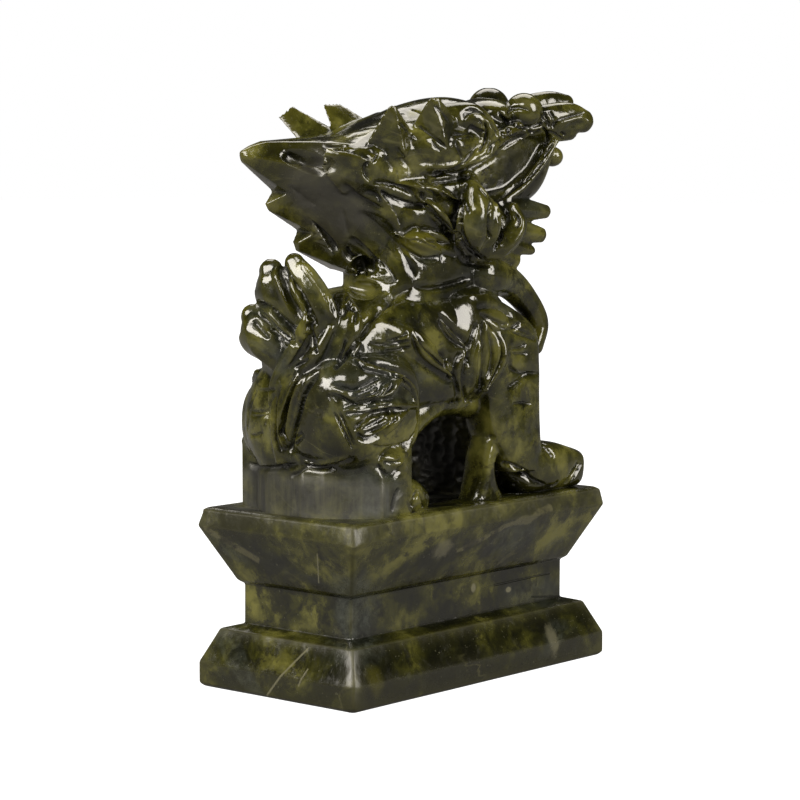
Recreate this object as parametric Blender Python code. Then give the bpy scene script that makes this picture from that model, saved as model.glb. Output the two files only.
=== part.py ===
"""Serpentine dragon figurine: a beast sitting on a moulded plinth, carved with it from one block.

Frame: origin at the middle of the plinth's underside, +Z up, the beast looks along +X.
Sizes are in millimetres and are turned into metres when a mesh is made.
The figure is put together from lofted strands and rounded masses, as a carver sees them,
fused by a voxel remesh, thinned to flat facets and joined to the plinth.
"""

import math

import bmesh
import bpy
import numpy as np

MM = 0.001

# The block that everything is cut from.
BLOCK_HALF_LENGTH = 49.4
BLOCK_HALF_WIDTH = 25.9
PLINTH_TOP = 44.7
SINK = 1.5  # how far the figure's feet run into the plinth, so that the two fuse
FLOOR = PLINTH_TOP - SINK

# Plinth profile from the underside up: height, and how far it stands back from the block's sides.
PLINTH_PROFILE = (
    (0.0, 1.0),
    (0.9, 0.0),
    (5.8, 0.0),
    (14.2, 4.0),
    (15.6, 8.2),
    (26.0, 8.2),
    (27.0, 7.0),
    (40.7, 0.0),
    (44.0, 0.8),
    (PLINTH_TOP, 1.8),
)

# The head is turned towards the beast's right and hangs on its own axes.
HEAD_CENTRE = np.array((0.0, -3.0, 125.0))
HEAD_TURN = math.radians(17.0)
HEAD_TILT = math.radians(3.0)
FORWARD = np.array((math.cos(HEAD_TURN), -math.sin(HEAD_TURN), 0.0))
LEFT = np.array(
    (
        math.sin(HEAD_TURN) * math.cos(HEAD_TILT),
        math.cos(HEAD_TURN) * math.cos(HEAD_TILT),
        math.sin(HEAD_TILT),
    )
)
UP = np.cross(FORWARD, LEFT)

SEAT = ((-24, -22.3), (-35, -22.3), (-40.5, -17), (-44.2, -12), (-46, -6),
        (-45.3, 5.7), (-43.3, 10.5), (-38, 16), (-24, 18))  # the block under the haunches, in plan

VOXEL = 0.7
FIGURE_TRIANGLES = 8600

STONE_COLOUR = (0.030, 0.034, 0.008, 1.0)
STONE_ROUGHNESS = 0.16


# --- shapes: each returns (points, faces) in millimetres -------------------------------------


def head(forward, left, up):
    """A point given along the head's own axes, in the figurine's frame."""
    return HEAD_CENTRE + forward * FORWARD + left * LEFT + up * UP


def through(values, steps):
    """A Catmull-Rom curve through rows of values, with so many steps between two rows."""
    rows = np.asarray(values, float)
    ends = np.vstack((2 * rows[0] - rows[1], rows, 2 * rows[-1] - rows[-2]))
    t = np.linspace(0, 1, steps, endpoint=False)[:, None]
    runs = []
    for a, b, c, d in zip(ends, ends[1:], ends[2:], ends[3:]):
        runs.append(
            0.5 * (2 * b + (c - a) * t + (2 * a - 5 * b + 4 * c - d) * t**2
                   + (3 * b - a - 3 * c + d) * t**3)
        )
    return np.vstack(runs + [rows[-1:]])


def unit(vectors):
    return vectors / np.linalg.norm(vectors, axis=-1, keepdims=True)


def skin(rings, start, end):
    """Quads between rings of equal size, closed with a fan to a point at each end."""
    count, sides, _ = rings.shape
    points = np.vstack((rings.reshape(-1, 3), start, end))
    i, j = np.meshgrid(np.arange(count - 1), np.arange(sides), indexing="ij")
    k = (j + 1) % sides
    faces = np.stack(
        (i * sides + j, i * sides + k, (i + 1) * sides + k, (i + 1) * sides + j), -1
    ).reshape(-1, 4).tolist()
    first, last = count * sides, count * sides + 1
    base = (count - 1) * sides
    faces += [(first, (n + 1) % sides, n) for n in range(sides)]
    faces += [(last, base + n, base + (n + 1) % sides) for n in range(sides)]
    return points, faces


def strand(path, widths, depths, across=(0, 0, 1), keel=0.3, box=1.0, sides=16, steps=6):
    """A lock, limb or roll: an oval of the given width and depth carried along a smooth path.
    The width lies along `across`. `keel` sharpens the oval towards a lozenge, a `box` under 1 squares it,
    and the ends are round."""
    rows = through(np.column_stack((path, widths, depths)), steps)
    centre, width, depth = rows[:, :3], rows[:, 3], rows[:, 4]
    along = unit(np.gradient(centre, axis=0))
    out = unit(np.cross(along, np.asarray(across, float)))
    side = np.cross(out, along)
    bend = np.linspace(0, math.pi / 2, 4)[1:-1]
    grown = [(centre, along, side, out, width, depth)]
    for end, sign in ((0, -1), (-1, 1)):
        reach = 0.5 * min(width[end], depth[end]) * np.sin(bend)[:, None]
        pick = [np.repeat(a[end][None], len(bend), 0) for a in (along, side, out)]
        shift = centre[end] + sign * reach * pick[0]
        scale = np.cos(bend)
        cap = (shift, *pick, width[end] * scale, depth[end] * scale)
        if sign < 0:
            grown.insert(0, tuple(a[::-1] for a in cap))
        else:
            grown.append(cap)
    centre, along, side, out, width, depth = (np.concatenate(a) for a in zip(*grown))
    angle = np.linspace(0, 2 * math.pi, sides, endpoint=False)
    x = np.sign(np.cos(angle)) * np.abs(np.cos(angle)) ** box
    y = np.sign(np.sin(angle)) * np.abs(np.sin(angle)) ** box
    y = (1 - keel) * y + keel * np.sign(y) * (1 - np.abs(x))
    rings = (
        centre[:, None]
        + 0.5 * width[:, None, None] * x[None, :, None] * side[:, None]
        + 0.5 * depth[:, None, None] * y[None, :, None] * out[:, None]
    )
    tip = 0.15 * min(width[0], depth[0]), 0.15 * min(width[-1], depth[-1])
    return skin(rings, centre[0] - tip[0] * along[0], centre[-1] + tip[1] * along[-1])


def mass(centre, radii, square=2.0, turn=None, sides=40):
    """A rounded mass: a superellipsoid, whose exponent `square` is 2 for an ellipsoid and more for a box."""
    power = 2.0 / square
    lat = np.linspace(-math.pi / 2, math.pi / 2, sides // 2 + 1)[1:-1]
    lon = np.linspace(0, 2 * math.pi, sides, endpoint=False)

    def bent(values):
        return np.sign(values) * np.abs(values) ** power

    x = bent(np.cos(lat))[:, None] * bent(np.cos(lon))[None]
    y = bent(np.cos(lat))[:, None] * bent(np.sin(lon))[None]
    z = np.repeat(bent(np.sin(lat))[:, None], sides, 1)
    axes = np.eye(3) if turn is None else np.array(turn, float)
    spread = np.asarray(radii, float)[:, None] * axes
    rings = np.stack((x, y, z), -1) @ spread + np.asarray(centre, float)
    top = np.asarray(centre, float) + spread[2]
    low = np.asarray(centre, float) - spread[2]
    return skin(rings, low, top)


def column(levels, round_share=0.5, sides=32):
    """An upright mass of rounded-rectangle sections. A level is (z, x0, x1, y0, y1)."""
    rows = through(levels, 4)
    z, x0, x1, y0, y1 = rows.T
    angle = np.linspace(0, 2 * math.pi, sides, endpoint=False)
    x, y = np.cos(angle), np.sin(angle)
    x = np.sign(x) * np.abs(x) ** round_share
    y = np.sign(y) * np.abs(y) ** round_share
    rings = np.stack(
        (
            (0.5 * (x0 + x1))[:, None] + (0.5 * (x1 - x0))[:, None] * x[None],
            (0.5 * (y0 + y1))[:, None] + (0.5 * (y1 - y0))[:, None] * y[None],
            np.repeat(z[:, None], sides, 1),
        ),
        -1,
    )
    return skin(rings, rings[0].mean(0), rings[-1].mean(0))


def hull(corners):
    """The flat-faced body that a saw would leave between the given corners."""
    work = bmesh.new()
    for corner in corners:
        work.verts.new(corner)
    bmesh.ops.convex_hull(work, input=work.verts)
    loose = [v for v in work.verts if not v.link_faces]
    bmesh.ops.delete(work, geom=loose, context="VERTS")
    bmesh.ops.recalc_face_normals(work, faces=work.faces)
    work.verts.index_update()
    points = np.array([v.co[:] for v in work.verts])
    faces = [[v.index for v in face.verts] for face in work.faces]
    work.free()
    return points, faces


HEAD_AXES = (FORWARD, LEFT, UP)


def head_strand(path, widths, depths, across=(0, 0, 1), keel=0.3, **more):
    """A strand whose points and across are given along the head's axes."""
    points = [head(*p) for p in path]
    turned = np.asarray(across, float) @ np.array(HEAD_AXES)
    return strand(points, widths, depths, turned, keel, **more)


def head_mass(centre, radii, square=2.0):
    return mass(head(*centre), radii, square, HEAD_AXES)


def head_hull(corners):
    """A flat-faced body on the head, given by the corners of its left half."""
    return hull([head(f, side * l, u) for f, l, u in corners for side in (-1, 1)])


# --- the beast ----------------------------------------------------------------------------------


def haunches():
    """The hind end: rump, thighs, the uncut block under them and the hind paws."""
    yield mass((-29, 4, 66.5), (18.5, 17.5, 19.5))
    yield mass((-32.7, -11, 70), (16.3, 13, 14.5), 2.9)
    yield mass((-29, 10, 67), (14, 11.5, 14), 2.4)
    # Flames of fur: one hangs, one lies level, one rises to the knee.
    flames = (((-44, 6, 78), (-38, 0.6, 74.2), (-28.5, 1, 78.4), 4.6),
              ((-46, 9.5, 70.6), (-38, 1.2, 72), (-24.5, 0.6, 71), 4.0),
              ((-42, 3.5, 64.4), (-35, 0, 67.4), (-28, 0.4, 70), 4.4))
    for side, out, ahead in ((-1, 23.8, 0), (1, 21.2, 6)):
        for back, middle, front, wide in flames:
            path = [(x + ahead, (out - deep) * side, z) for x, deep, z in (back, middle, front)]
            yield strand(path, (1.6, wide, 1.6), (3, 4, 3), (0, 0, 1), 0.4)
    # The block below is left as it was sawn, with its rear corners taken off wide.
    yield hull([(x, y, z) for x, y in SEAT for z in (FLOOR, 62)])
    yield hull([(x, y, z) for x in (-38.5, -24) for y in (8, 19.6) for z in (FLOOR, 60)])
    for side in (-1, 1):
        toe = 0.0 if side < 0 else -1.5
        yield strand([(-30, 17.5 * side, 48), (-22, 17.5 * side, 48), (-17.5 + toe, 17 * side, 47)],
                     (9, 10, 8), (9, 10, 8.5), (0, 1, 0), 0)
        # The hock's tuft points forward above the paw.
        yield strand([(-36, 18 * side, 60), (-29, 19.5 * side, 57.5), (-23.5, 20 * side, 53.5)],
                     (8, 8, 2), (8, 7, 2), (0, 1, 0), 0.4)


def trunk():
    """Belly, back and shoulders as one deep barrel with a flat back."""
    yield strand([(-30, -1, 80), (-18, 0, 82), (0, 0, 82.5), (15, 0, 81)],
                 (35, 38, 41, 38), (31, 33, 33, 32), (0, 1, 0), 0, box=0.62, sides=32)
    for side in (-1, 1):
        yield mass((6, 12 * side, 84), (15, 10, 15), 2.5)
        # Over the loin a fold runs from the back towards the elbow.
        yield strand([(-31, 14 * side, 91), (-20, 18 * side, 86), (-8, 19.5 * side, 78)],
                     (5, 7, 4), (5, 6, 4), (0, 0, 1), 0.3)
        # A long lens stands out on the shoulder.
        yield strand([(6, 20 * side, 90), (10, 22 * side, 82), (5.5, 21 * side, 73)],
                     (2, 6.5, 2), (3, 4, 3), (1, 0, 0), 0.4)


def forelegs():
    """Two upright legs with long paws, and the rough web of stone left between them."""
    for side in (-1, 1):
        inner, outer = sorted((8 * side, 22.5 * side))
        yield column([(52, 9, 29, inner, outer), (60, 8, 28.8, inner, outer),
                      (70, 8, 28.7, inner, outer), (78, 6, 28.7, inner, outer),
                      (86, 3, 27.5, inner, outer), (92, 1, 22, inner + 1, outer - 1),
                      (98, 1, 12, inner + 3, outer - 3)], 0.5)
        yield strand([(26, 15 * side, 51), (34, 15.5 * side, 50.3), (44.3, 16 * side, 49)],
                     (15, 15, 12), (13.5, 12.5, 9.4), (0, 1, 0), 0, box=0.7)
        # The heel stands on a stub of stone, with a hollow between it and the toes.
        low, high = sorted((12 * side, 20 * side))
        yield column([(FLOOR, 6, 17.5, low, high), (48.5, 7.5, 15, low, high), (56, 8, 17, low, high)], 0.6)
    yield column([(FLOOR, 11, 27, -9, 9), (60, 10, 27, -9, 9), (74, 2, 28, -10, 10)], 0.5)
    yield mass((18, 0, 84), (13, 17, 13), 2.3)


def neck():
    """A thick flat-sided neck, with two steps cut in its nape."""
    yield column([(90, -24, 14, -17, 11), (97, -22, 15, -16.5, 10), (106, -20, 15, -16.5, 11),
                  (118, -20, 15, -17, 12)], 0.55)


def chest_loop():
    """The end of the beard drawn down in a loop to the chest."""
    yield strand([(15, -14, 103), (22, -14.5, 99.5), (29, -15.5, 94.5), (33.5, -16.5, 88), (31, -17, 82)],
                 (6, 5.4, 5, 4.4, 3.4), (6, 5.4, 5, 4.2, 3.4), (0, 1, 0), 0)


def tail():
    """A flame of a tail up the rear: a stem that opens into three leaf-shaped locks."""
    yield strand([(-45, 0, 58), (-45.5, 0, 66), (-44.5, -2, 76), (-42, -5, 86), (-42, -6, 92)],
                 (4, 6, 10, 17, 17), (6, 8, 9, 10, 8), (0, 1, 0), 0.1)
    locks = (
        # base, middle, tip, greatest width
        ((-42, -4, 84), (-44.4, 1.8, 96), (-45.2, 3.8, 104.2), 14),
        ((-40, -10, 82), (-42.3, -10.5, 94), (-44.3, -4.8, 105), 12.4),
        ((-41.5, -1, 80), (-44.6, 7, 86), (-44.9, 11, 92.2), 13),
    )
    for low, mid, tip, wide in locks:
        top = 0.35 * np.array(mid) + 0.65 * np.array(tip)
        yield strand([low, mid, top, tip], (0.6 * wide, wide, 0.88 * wide, 0.55 * wide), (8, 9, 8.4, 5.5),
                     (0, 1, 0.3), 0.5, sides=24)
    # Two ridges sweep up the stem.
    yield strand([(-46.3, 0, 60), (-46.8, 0, 67), (-46.3, -3, 75), (-45.5, -10, 83), (-43.5, -13.5, 90)],
                 (2.5, 3, 3.4, 3.4, 2), (3, 3, 3, 3, 2), (0, 1, 0), 0)
    yield strand([(-46.8, 2, 66), (-47.3, 1, 76), (-47.4, -4, 84), (-46.5, -9, 93)],
                 (2, 3, 3, 2), (3, 3, 3, 2), (0, 1, 0), 0)
    # Where the spine meets the tail.
    yield strand([(-40, -12, 82), (-38, -13, 90), (-36, -10, 96)], (9, 10, 6), (9, 9, 5), (0, 1, 0), 0.2)


def stern(forward, up):
    """How far out the flat side of the mane lies: 0.62 times the distance ahead of the line of its points."""
    return 0.62 * (forward + 51 - 0.73 * (6 - up)) + 0.8


def plate(outline):
    """The part of the mane between its two flat sides, for an outline seen from the side."""
    return hull([head(f, side * stern(f, u), u) for f, u in outline for side in (-1, 1)])


def skull():
    """The wedge of the head: the mane behind it, forehead, snout, mouth and throat."""
    # The top lock of the mane, drawn out to a point behind.
    yield head_hull([(-50.3, 0.5, 6.8), (-50, 0.8, 5), (-36, 6, 8), (-22, 12, 9), (-23, 2, 11),
                     (-33, 10.5, 3)])
    # The flat sides of the mane and of the nape.
    yield plate([(-49.8, 6), (-49.6, 4.2), (-42.3, -0.8), (-28, -8), (-26, 2), (-34, 2.5)])
    yield plate([(-39, -2.5), (-31.2, -12.6), (-19, -23.5), (-9, -25.5), (-15.5, -8), (-24, 3), (-32, 2)])
    # The blunt back of the head.
    yield head_hull([(-23, 2, 11), (-8, 6, 16.5), (-30, 12, 7), (-22, 16.5, 7.5), (-8, 17, 9),
                     (-22, 15, -1), (-10, 16, -6), (-6, 14, -23.5), (4, 14, -18)])
    yield head_strand([(-14, 0, 4), (-5, 0, 8.8), (7, 0, 12.3), (18, 0, 11.5)],
                      (16, 18, 16.5, 14), (22, 26, 24, 20), (0, 0, 1), 0.1, sides=24)
    yield head_strand([(14, 0, 12), (26, 0, 13), (36, -1, 13.5), (42, -1, 14)],
                      (13, 9, 8, 6), (20, 17, 15, 11), (0, 0, 1), 0.1, sides=24)
    # Lower jaw, rising to meet the nose.
    yield head_strand([(8, 0, -8), (22, 0, -4.5), (30, -1.5, -0.8), (35.5, -2, 7)],
                      (13, 9, 9.5, 6), (24, 20, 17, 13), (0, 0, 1), 0.1, sides=24)
    # The stone left inside the open mouth.
    yield head_hull([(8, 8, 10), (24, 7.5, 11), (36, 4.5, 11), (37, 4.5, 7), (31, 6, 0), (20, 7.5, -6),
                     (8, 8, -6)])
    yield head_mass((-2, -1, -6), (18, 15, 13), 2.4)


def mane_locks():
    """A side lock behind the ears, and two more points of the mane down the nape."""
    for side in (-1, 1):
        yield hull([head(f, out * side, u) for f, out, u in (
            (-33.5, 11.5, 8.3), (-26, 15, 8.5), (-18, 15, 9), (-34.5, 11.3, 3), (-31.5, 14.6, 7),
            (-24, 17.8, 6), (-28.5, 11.5, -3), (-24.5, 16.8, 0), (-12, 15, -4))])
    yield plate([(-43.4, -5.6), (-42.8, -7.8), (-38, -1), (-28, -2), (-24, -12), (-31, -13)])
    yield plate([(-34.8, -15.6), (-34.2, -18.4), (-31, -12.2), (-22, -6), (-14, -20), (-20, -23.5)])


def crest():
    """Two pairs of pointed ears or horns on the head's upper edges, and a curl before them."""
    # Each ear is a sawn three-sided point: the foot runs along the head, the ridge faces outward.
    ears = (
        # rear foot, front foot, two ends of the blunt tip, place of the ridge's foot
        ((-24.5, 12, 8), (-13, 12, 10), (-29, 18, 15.2), (-25.5, 18, 17.8), (-19, 17, 8)),
        ((-17, 12, 10), (-3, 12, 12), (-18.8, 18, 17.8), (-12.5, 18, 18.4), (-10, 17, 10)),
        ((-23.5, -13, 8), (-10, -14, 12), (-19.8, -18, 17.8), (-18.3, -18.3, 17.8), (-15, -18.8, 6)),
        ((-10.5, -13, 12), (4.5, -14, 13), (-9, -18, 19.5), (-6.5, -18.3, 19.8), (-3.5, -19, 8)),
    )
    for back, front, tip, tip_ahead, ridge in ears:
        sunk = [(p[0], 0.72 * p[1], p[2] - 3) for p in (back, front)]
        yield hull([head(*p) for p in (back, front, tip, tip_ahead, ridge, *sunk)])
    for side in (-1, 1):
        yield head_mass((-2, 9.5 * side, 8.5), (16, 9, 7))
        low = 0 if side < 0 else 1.8
        yield head_strand([(0, 11 * side, 15 - low), (7, 13.5 * side, 15.5 - low),
                           (11.5, 14 * side, 11 - low), (7, 14.5 * side, 7)],
                          (7, 7, 6, 5), (8, 8, 7, 6), (0, 1, 0), 0.2)
        # The lip: a long roll from the corner of the mouth to under the eye.
        yield head_strand([(-9, 14 * side, 4), (0, 15 * side, 4.5), (9, 14.5 * side, 7),
                           (15, 12 * side, 10), (24, 9 * side, 13.5)],
                          (3, 4, 4, 3.5, 3), (6, 6, 6, 5, 4), (0, 0, 1), 0.2)


def face():
    """Eyes, brow, nostrils, lips and chin."""
    yield head_mass((26.5, -6, 17.4), (4.8, 4.6, 4.6))
    yield head_mass((25.3, 6, 17.6), (5.6, 5, 5.4))
    yield head_mass((20, 0, 16.5), (7, 9, 4))
    yield head_strand([(33, 3, 17.5), (42, 3.2, 19.4), (47.5, 3, 19.6)], (7, 6, 4), (6, 5, 4))
    yield head_strand([(33, -6, 15), (41.5, -6.3, 15.8), (46.6, -6.4, 15)], (8, 8, 6), (5.8, 5.8, 5))
    yield head_strand([(34, -4, 11.5), (43, -5, 12)], (5, 4), (6, 5))
    yield head_mass((39.3, -3, 5.8), (2.8, 3, 2.6))
    for side in (-1, 1):
        yield head_strand([(18.5, 9 * side, -6), (26, 9 * side, -1.5), (32.5, 8.5 * side, 5),
                           (36.5, 8 * side, 10)], (2.4, 2.4, 2.2, 2), (3, 3, 3, 2.4), (0, 0, 1), 0.2)


def beard():
    """Curled leaves along each cheek and a fringe of points under the chin."""
    for side in (-1, 1):
        # The large leaf of the cheek opens like a hand with three fingers.
        fingers = (
            (((8, 14, -16), (6.5, 17, -12), (7, 17, -6), (5.5, 14, 1.5)), (8, 11, 10, 3.5)),
            (((10, 14, -16), (11.5, 16.5, -11.5), (11.3, 16, -7), (10, 14, -2.5)), (7, 6, 5, 2.5)),
            (((10, 14, -17.5), (16.5, 15.2, -15.5), (20.7, 15.2, -11), (20.3, 14, -6.5)), (6, 6, 5, 3)),
        )
        for path, widths in fingers:
            yield head_strand([(f, out * side, u) for f, out, u in path], widths, (6, 6.5, 6, 3),
                              (1, 0, 0.2), 0.3)
        for back, out, low, back2, low2, wide in (
            (-16, 15, 0, 3, -4.5, 4.5), (-10, 15.5, -3, 0, -12, 4.5), (-15, 14.5, -12.5, -3, -17, 5),
        ):
            middle = (0.5 * (back + back2), (out + 1.5) * side, 0.5 * (low + low2) + 0.6)
            yield head_strand([(back, out * side, low), middle, (back2, out * side, low2)],
                              (1.5, wide, 1.5), (4, 5, 4), (0, 0, 1), 0.4)
    yield head_mass((15, -1, -12), (11, 14, 9))
    for tip, root, wide in (
        ((35.5, -8, -7.5), (22, -8, -8), 8), ((34.5, -8, -13), (21, -8, -12), 9),
        ((31.5, -8, -18), (19, -8, -15), 8), ((25, -8, -22.5), (16, -8, -17), 8),
        ((30, 4, -10), (18, 3, -10), 8), ((27, 5, -17), (16, 3, -14), 8),
    ):
        yield head_strand([root, tip], (wide, 1.6), (wide, 1.8), (0, 0, 1), 0.5)


# --- putting it together ------------------------------------------------------------------------


def mesh_of(name, shapes):
    """One mesh from many (points, faces)."""
    points, faces, base = [], [], 0
    for shape_points, shape_faces in shapes:
        points.append(shape_points)
        faces += [[base + n for n in face] for face in shape_faces]
        base += len(shape_points)
    mesh = bpy.data.meshes.new(name)
    mesh.from_pydata((np.vstack(points) * MM).tolist(), [], faces)
    mesh.update()
    return mesh


def link(name, mesh):
    made = bpy.data.objects.new(name, mesh)
    bpy.context.scene.collection.objects.link(made)
    return made


def modified(source):
    """A plain mesh of an object as its modifiers leave it."""
    graph = bpy.context.evaluated_depsgraph_get()
    return bpy.data.meshes.new_from_object(source.evaluated_get(graph))


def largest_shell(mesh):
    """Drops every loose shell but the largest, such as the skin of a bubble sealed in the stone."""
    count = len(mesh.vertices)
    ends = np.empty(len(mesh.edges) * 2, np.int32)
    mesh.edges.foreach_get("vertices", ends)
    ends = ends.reshape(-1, 2)
    label = np.arange(count)
    while True:
        low = np.minimum(label[ends[:, 0]], label[ends[:, 1]])
        new = label.copy()
        np.minimum.at(new, ends[:, 0], low)
        np.minimum.at(new, ends[:, 1], low)
        new = new[new]
        if (new == label).all():
            break
        label = new
    kept = label == np.bincount(label).argmax()
    faces = [p.vertices[:] for p in mesh.polygons if kept[p.vertices[0]]]
    index = np.cumsum(kept) - 1
    points = np.empty(count * 3)
    mesh.vertices.foreach_get("co", points)
    clean = bpy.data.meshes.new(mesh.name)
    clean.from_pydata(points.reshape(-1, 3)[kept].tolist(), [], [[int(index[v]) for v in f] for f in faces])
    clean.update()
    return clean


def plinth_shape():
    """The moulded plinth: a rectangle carried up its profile."""
    corners = np.array(((-1, -1), (1, -1), (1, 1), (-1, 1)))
    rings = np.array([
        np.column_stack((corners * (BLOCK_HALF_LENGTH - back, BLOCK_HALF_WIDTH - back), np.full(4, height)))
        for height, back in PLINTH_PROFILE
    ])
    points = rings.reshape(-1, 3)
    faces = [
        (4 * i + j, 4 * i + (j + 1) % 4, 4 * i + 4 + (j + 1) % 4, 4 * i + 4 + j)
        for i in range(len(rings) - 1) for j in range(4)
    ]
    top = 4 * (len(rings) - 1)
    faces += [(3, 2, 1, 0), (top, top + 1, top + 2, top + 3)]
    return points, faces


def stone():
    material = bpy.data.materials.new("serpentine")
    material.use_nodes = True
    shader = material.node_tree.nodes["Principled BSDF"]
    shader.inputs["Base Color"].default_value = STONE_COLOUR
    shader.inputs["Roughness"].default_value = STONE_ROUGHNESS
    shader.inputs["Metallic"].default_value = 0.0
    return material


def main():
    for old in list(bpy.data.objects):
        bpy.data.objects.remove(old)

    shapes = []
    for part in (haunches, trunk, forelegs, neck, chest_loop, tail, skull, mane_locks, crest, face,
                 beard):
        shapes += part()
    rough = link("rough", mesh_of("rough", shapes))
    remesh = rough.modifiers.new("fuse", "REMESH")
    remesh.mode = "VOXEL"
    remesh.voxel_size = VOXEL * MM
    soften = rough.modifiers.new("soften", "SMOOTH")
    soften.factor = 0.5
    soften.iterations = 2
    carved = largest_shell(modified(rough))
    bpy.data.objects.remove(rough)

    plinth = link("plinth_helper", mesh_of("plinth", [plinth_shape()]))
    plinth.hide_render = True
    plinth.display_type = "WIRE"

    figure = link("dragon_figurine", carved)
    thin = figure.modifiers.new("facets", "DECIMATE")
    thin.ratio = FIGURE_TRIANGLES / (2 * len(carved.polygons))
    join = figure.modifiers.new("on_plinth", "BOOLEAN")
    join.operation = "UNION"
    join.object = plinth
    figure.data.materials.append(stone())


main()
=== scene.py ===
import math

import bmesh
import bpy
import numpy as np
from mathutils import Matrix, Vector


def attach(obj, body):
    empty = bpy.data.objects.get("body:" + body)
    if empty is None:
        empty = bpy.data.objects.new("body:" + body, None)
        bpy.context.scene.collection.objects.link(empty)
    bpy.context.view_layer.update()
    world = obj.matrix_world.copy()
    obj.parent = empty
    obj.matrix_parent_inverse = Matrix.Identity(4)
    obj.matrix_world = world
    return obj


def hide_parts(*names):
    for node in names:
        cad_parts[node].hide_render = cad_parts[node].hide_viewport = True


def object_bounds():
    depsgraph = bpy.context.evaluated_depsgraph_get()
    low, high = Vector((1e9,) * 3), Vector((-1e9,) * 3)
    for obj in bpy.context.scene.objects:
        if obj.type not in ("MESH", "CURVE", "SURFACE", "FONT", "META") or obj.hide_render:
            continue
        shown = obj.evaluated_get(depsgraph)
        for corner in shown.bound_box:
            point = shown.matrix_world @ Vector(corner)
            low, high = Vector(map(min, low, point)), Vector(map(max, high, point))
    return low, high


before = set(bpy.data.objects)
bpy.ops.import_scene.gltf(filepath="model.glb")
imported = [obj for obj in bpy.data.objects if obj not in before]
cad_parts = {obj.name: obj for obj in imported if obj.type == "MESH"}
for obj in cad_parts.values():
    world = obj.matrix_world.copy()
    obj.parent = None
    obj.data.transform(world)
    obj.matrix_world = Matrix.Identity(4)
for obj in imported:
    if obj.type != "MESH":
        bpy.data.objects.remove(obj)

# %% [markdown]
# # A dragon figurine cut from one block of serpentine
#
# The real object is a hand-sized table figurine. A carver saws a block of green stone, leaves a moulded
# plinth below, roughs out a sitting beast with a dragon's head above it, cuts the fur, scales and mane
# with small wheels, and polishes everything that a wheel can reach. There is one piece of stone and so
# one mesh. It is made in the carver's order: rough masses first, then the fusing of the masses into one
# skin, then cuts in that skin, and last the polish, which is the material.
#
# All sizes below are in millimetres, in the frame of the construction model: the origin is the middle of
# the plinth's underside, +Z is up and the beast looks along +X.

MM = 0.001
cad_low, cad_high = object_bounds()
print("the solid's box in mm:", [round(x / MM, 1) for x in (*cad_low, *cad_high)])

# %% [markdown]
# ## The block and the head's own axes
#
# The figure's measures hang on a few numbers. The block gives the plinth. The head is turned towards the
# beast's right and leans a little, so its parts are easier to place along its own axes: forward, left
# and up from a point in the middle of the skull. A function turns such a place into the main frame.

# %% Driving sizes
BLOCK_HALF_LENGTH = 49.4
BLOCK_HALF_WIDTH = 25.9
PLINTH_TOP = 44.7
SINK = 1.5  # how far the figure's feet run into the plinth
FLOOR = PLINTH_TOP - SINK  # where the figure's feet end, inside the plinth

HEAD_CENTRE = np.array((0.0, -3.0, 125.0))
HEAD_TURN = math.radians(17.0)
HEAD_TILT = math.radians(3.0)
FORWARD = np.array((math.cos(HEAD_TURN), -math.sin(HEAD_TURN), 0.0))
LEFT = np.array((math.sin(HEAD_TURN) * math.cos(HEAD_TILT), math.cos(HEAD_TURN) * math.cos(HEAD_TILT),
                 math.sin(HEAD_TILT)))
UP = np.cross(FORWARD, LEFT)
HEAD_AXES = np.array((FORWARD, LEFT, UP))


def head(forward, left, up):
    """centre + forward * F + left * L + up * U: a place on the head, in the figurine's frame."""
    return HEAD_CENTRE + np.array((forward, left, up)) @ HEAD_AXES


print("the tip of the nose is near", head(48, -3, 18).round(1))

# %% [markdown]
# ## A lock of hair, a limb, a lip: the strand
#
# Nearly everything on this beast is a long rounded body that swells and tapers: locks, flames of fur,
# toes, lips, horns. A chain of spheres would look like dough, and a skinned line has no crisp back. The
# strand here is a surface of two parameters. One runs along a smooth line through a few given places,
# the other runs round a section that can be an oval, a lozenge with a sharp back, or nearly a box.

# %% Smooth lines
def through(values, steps=6):
    """Catmull-Rom, in `steps` parts from row to row: between rows b and c with neighbours a and d, the
    point at t is (2b + (c-a)t + (2a-5b+4c-d)t^2 + (3b-a-3c+d)t^3) / 2."""
    rows = np.asarray(values, float)
    ends = np.vstack((2 * rows[0] - rows[1], rows, 2 * rows[-1] - rows[-2]))
    t = np.linspace(0, 1, steps, endpoint=False)[:, None]
    a, b, c, d = (ends[i:len(ends) - 3 + i, None] for i in range(4))
    runs = 0.5 * (2 * b + (c - a) * t + (2 * a - 5 * b + 4 * c - d) * t**2 + (3 * b - a - 3 * c + d) * t**3)
    return np.vstack((runs.reshape(-1, rows.shape[1]), rows[-1:]))


def unit(vectors):
    """Each row divided by its length."""
    return vectors / np.linalg.norm(vectors, axis=-1, keepdims=True)


def power(values, exponent):
    """|v|^exponent with the sign of v: it squares a circle up or draws it in."""
    return np.sign(values) * np.abs(values) ** exponent


print("a line through three places:", through([(0, 0), (3, 4), (6, 0)], 4).round(2).tolist())

# %% A skin over rings
def quads_between(count, sides):
    """The quads between `count` closed rings of `sides` points each, numbered ring after ring."""
    i, j = np.meshgrid(np.arange(count - 1), np.arange(sides), indexing="ij")
    k = (j + 1) % sides
    quads = np.stack((i * sides + j, i * sides + k, (i + 1) * sides + k, (i + 1) * sides + j), -1)
    return quads.reshape(-1, 4).tolist()


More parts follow.
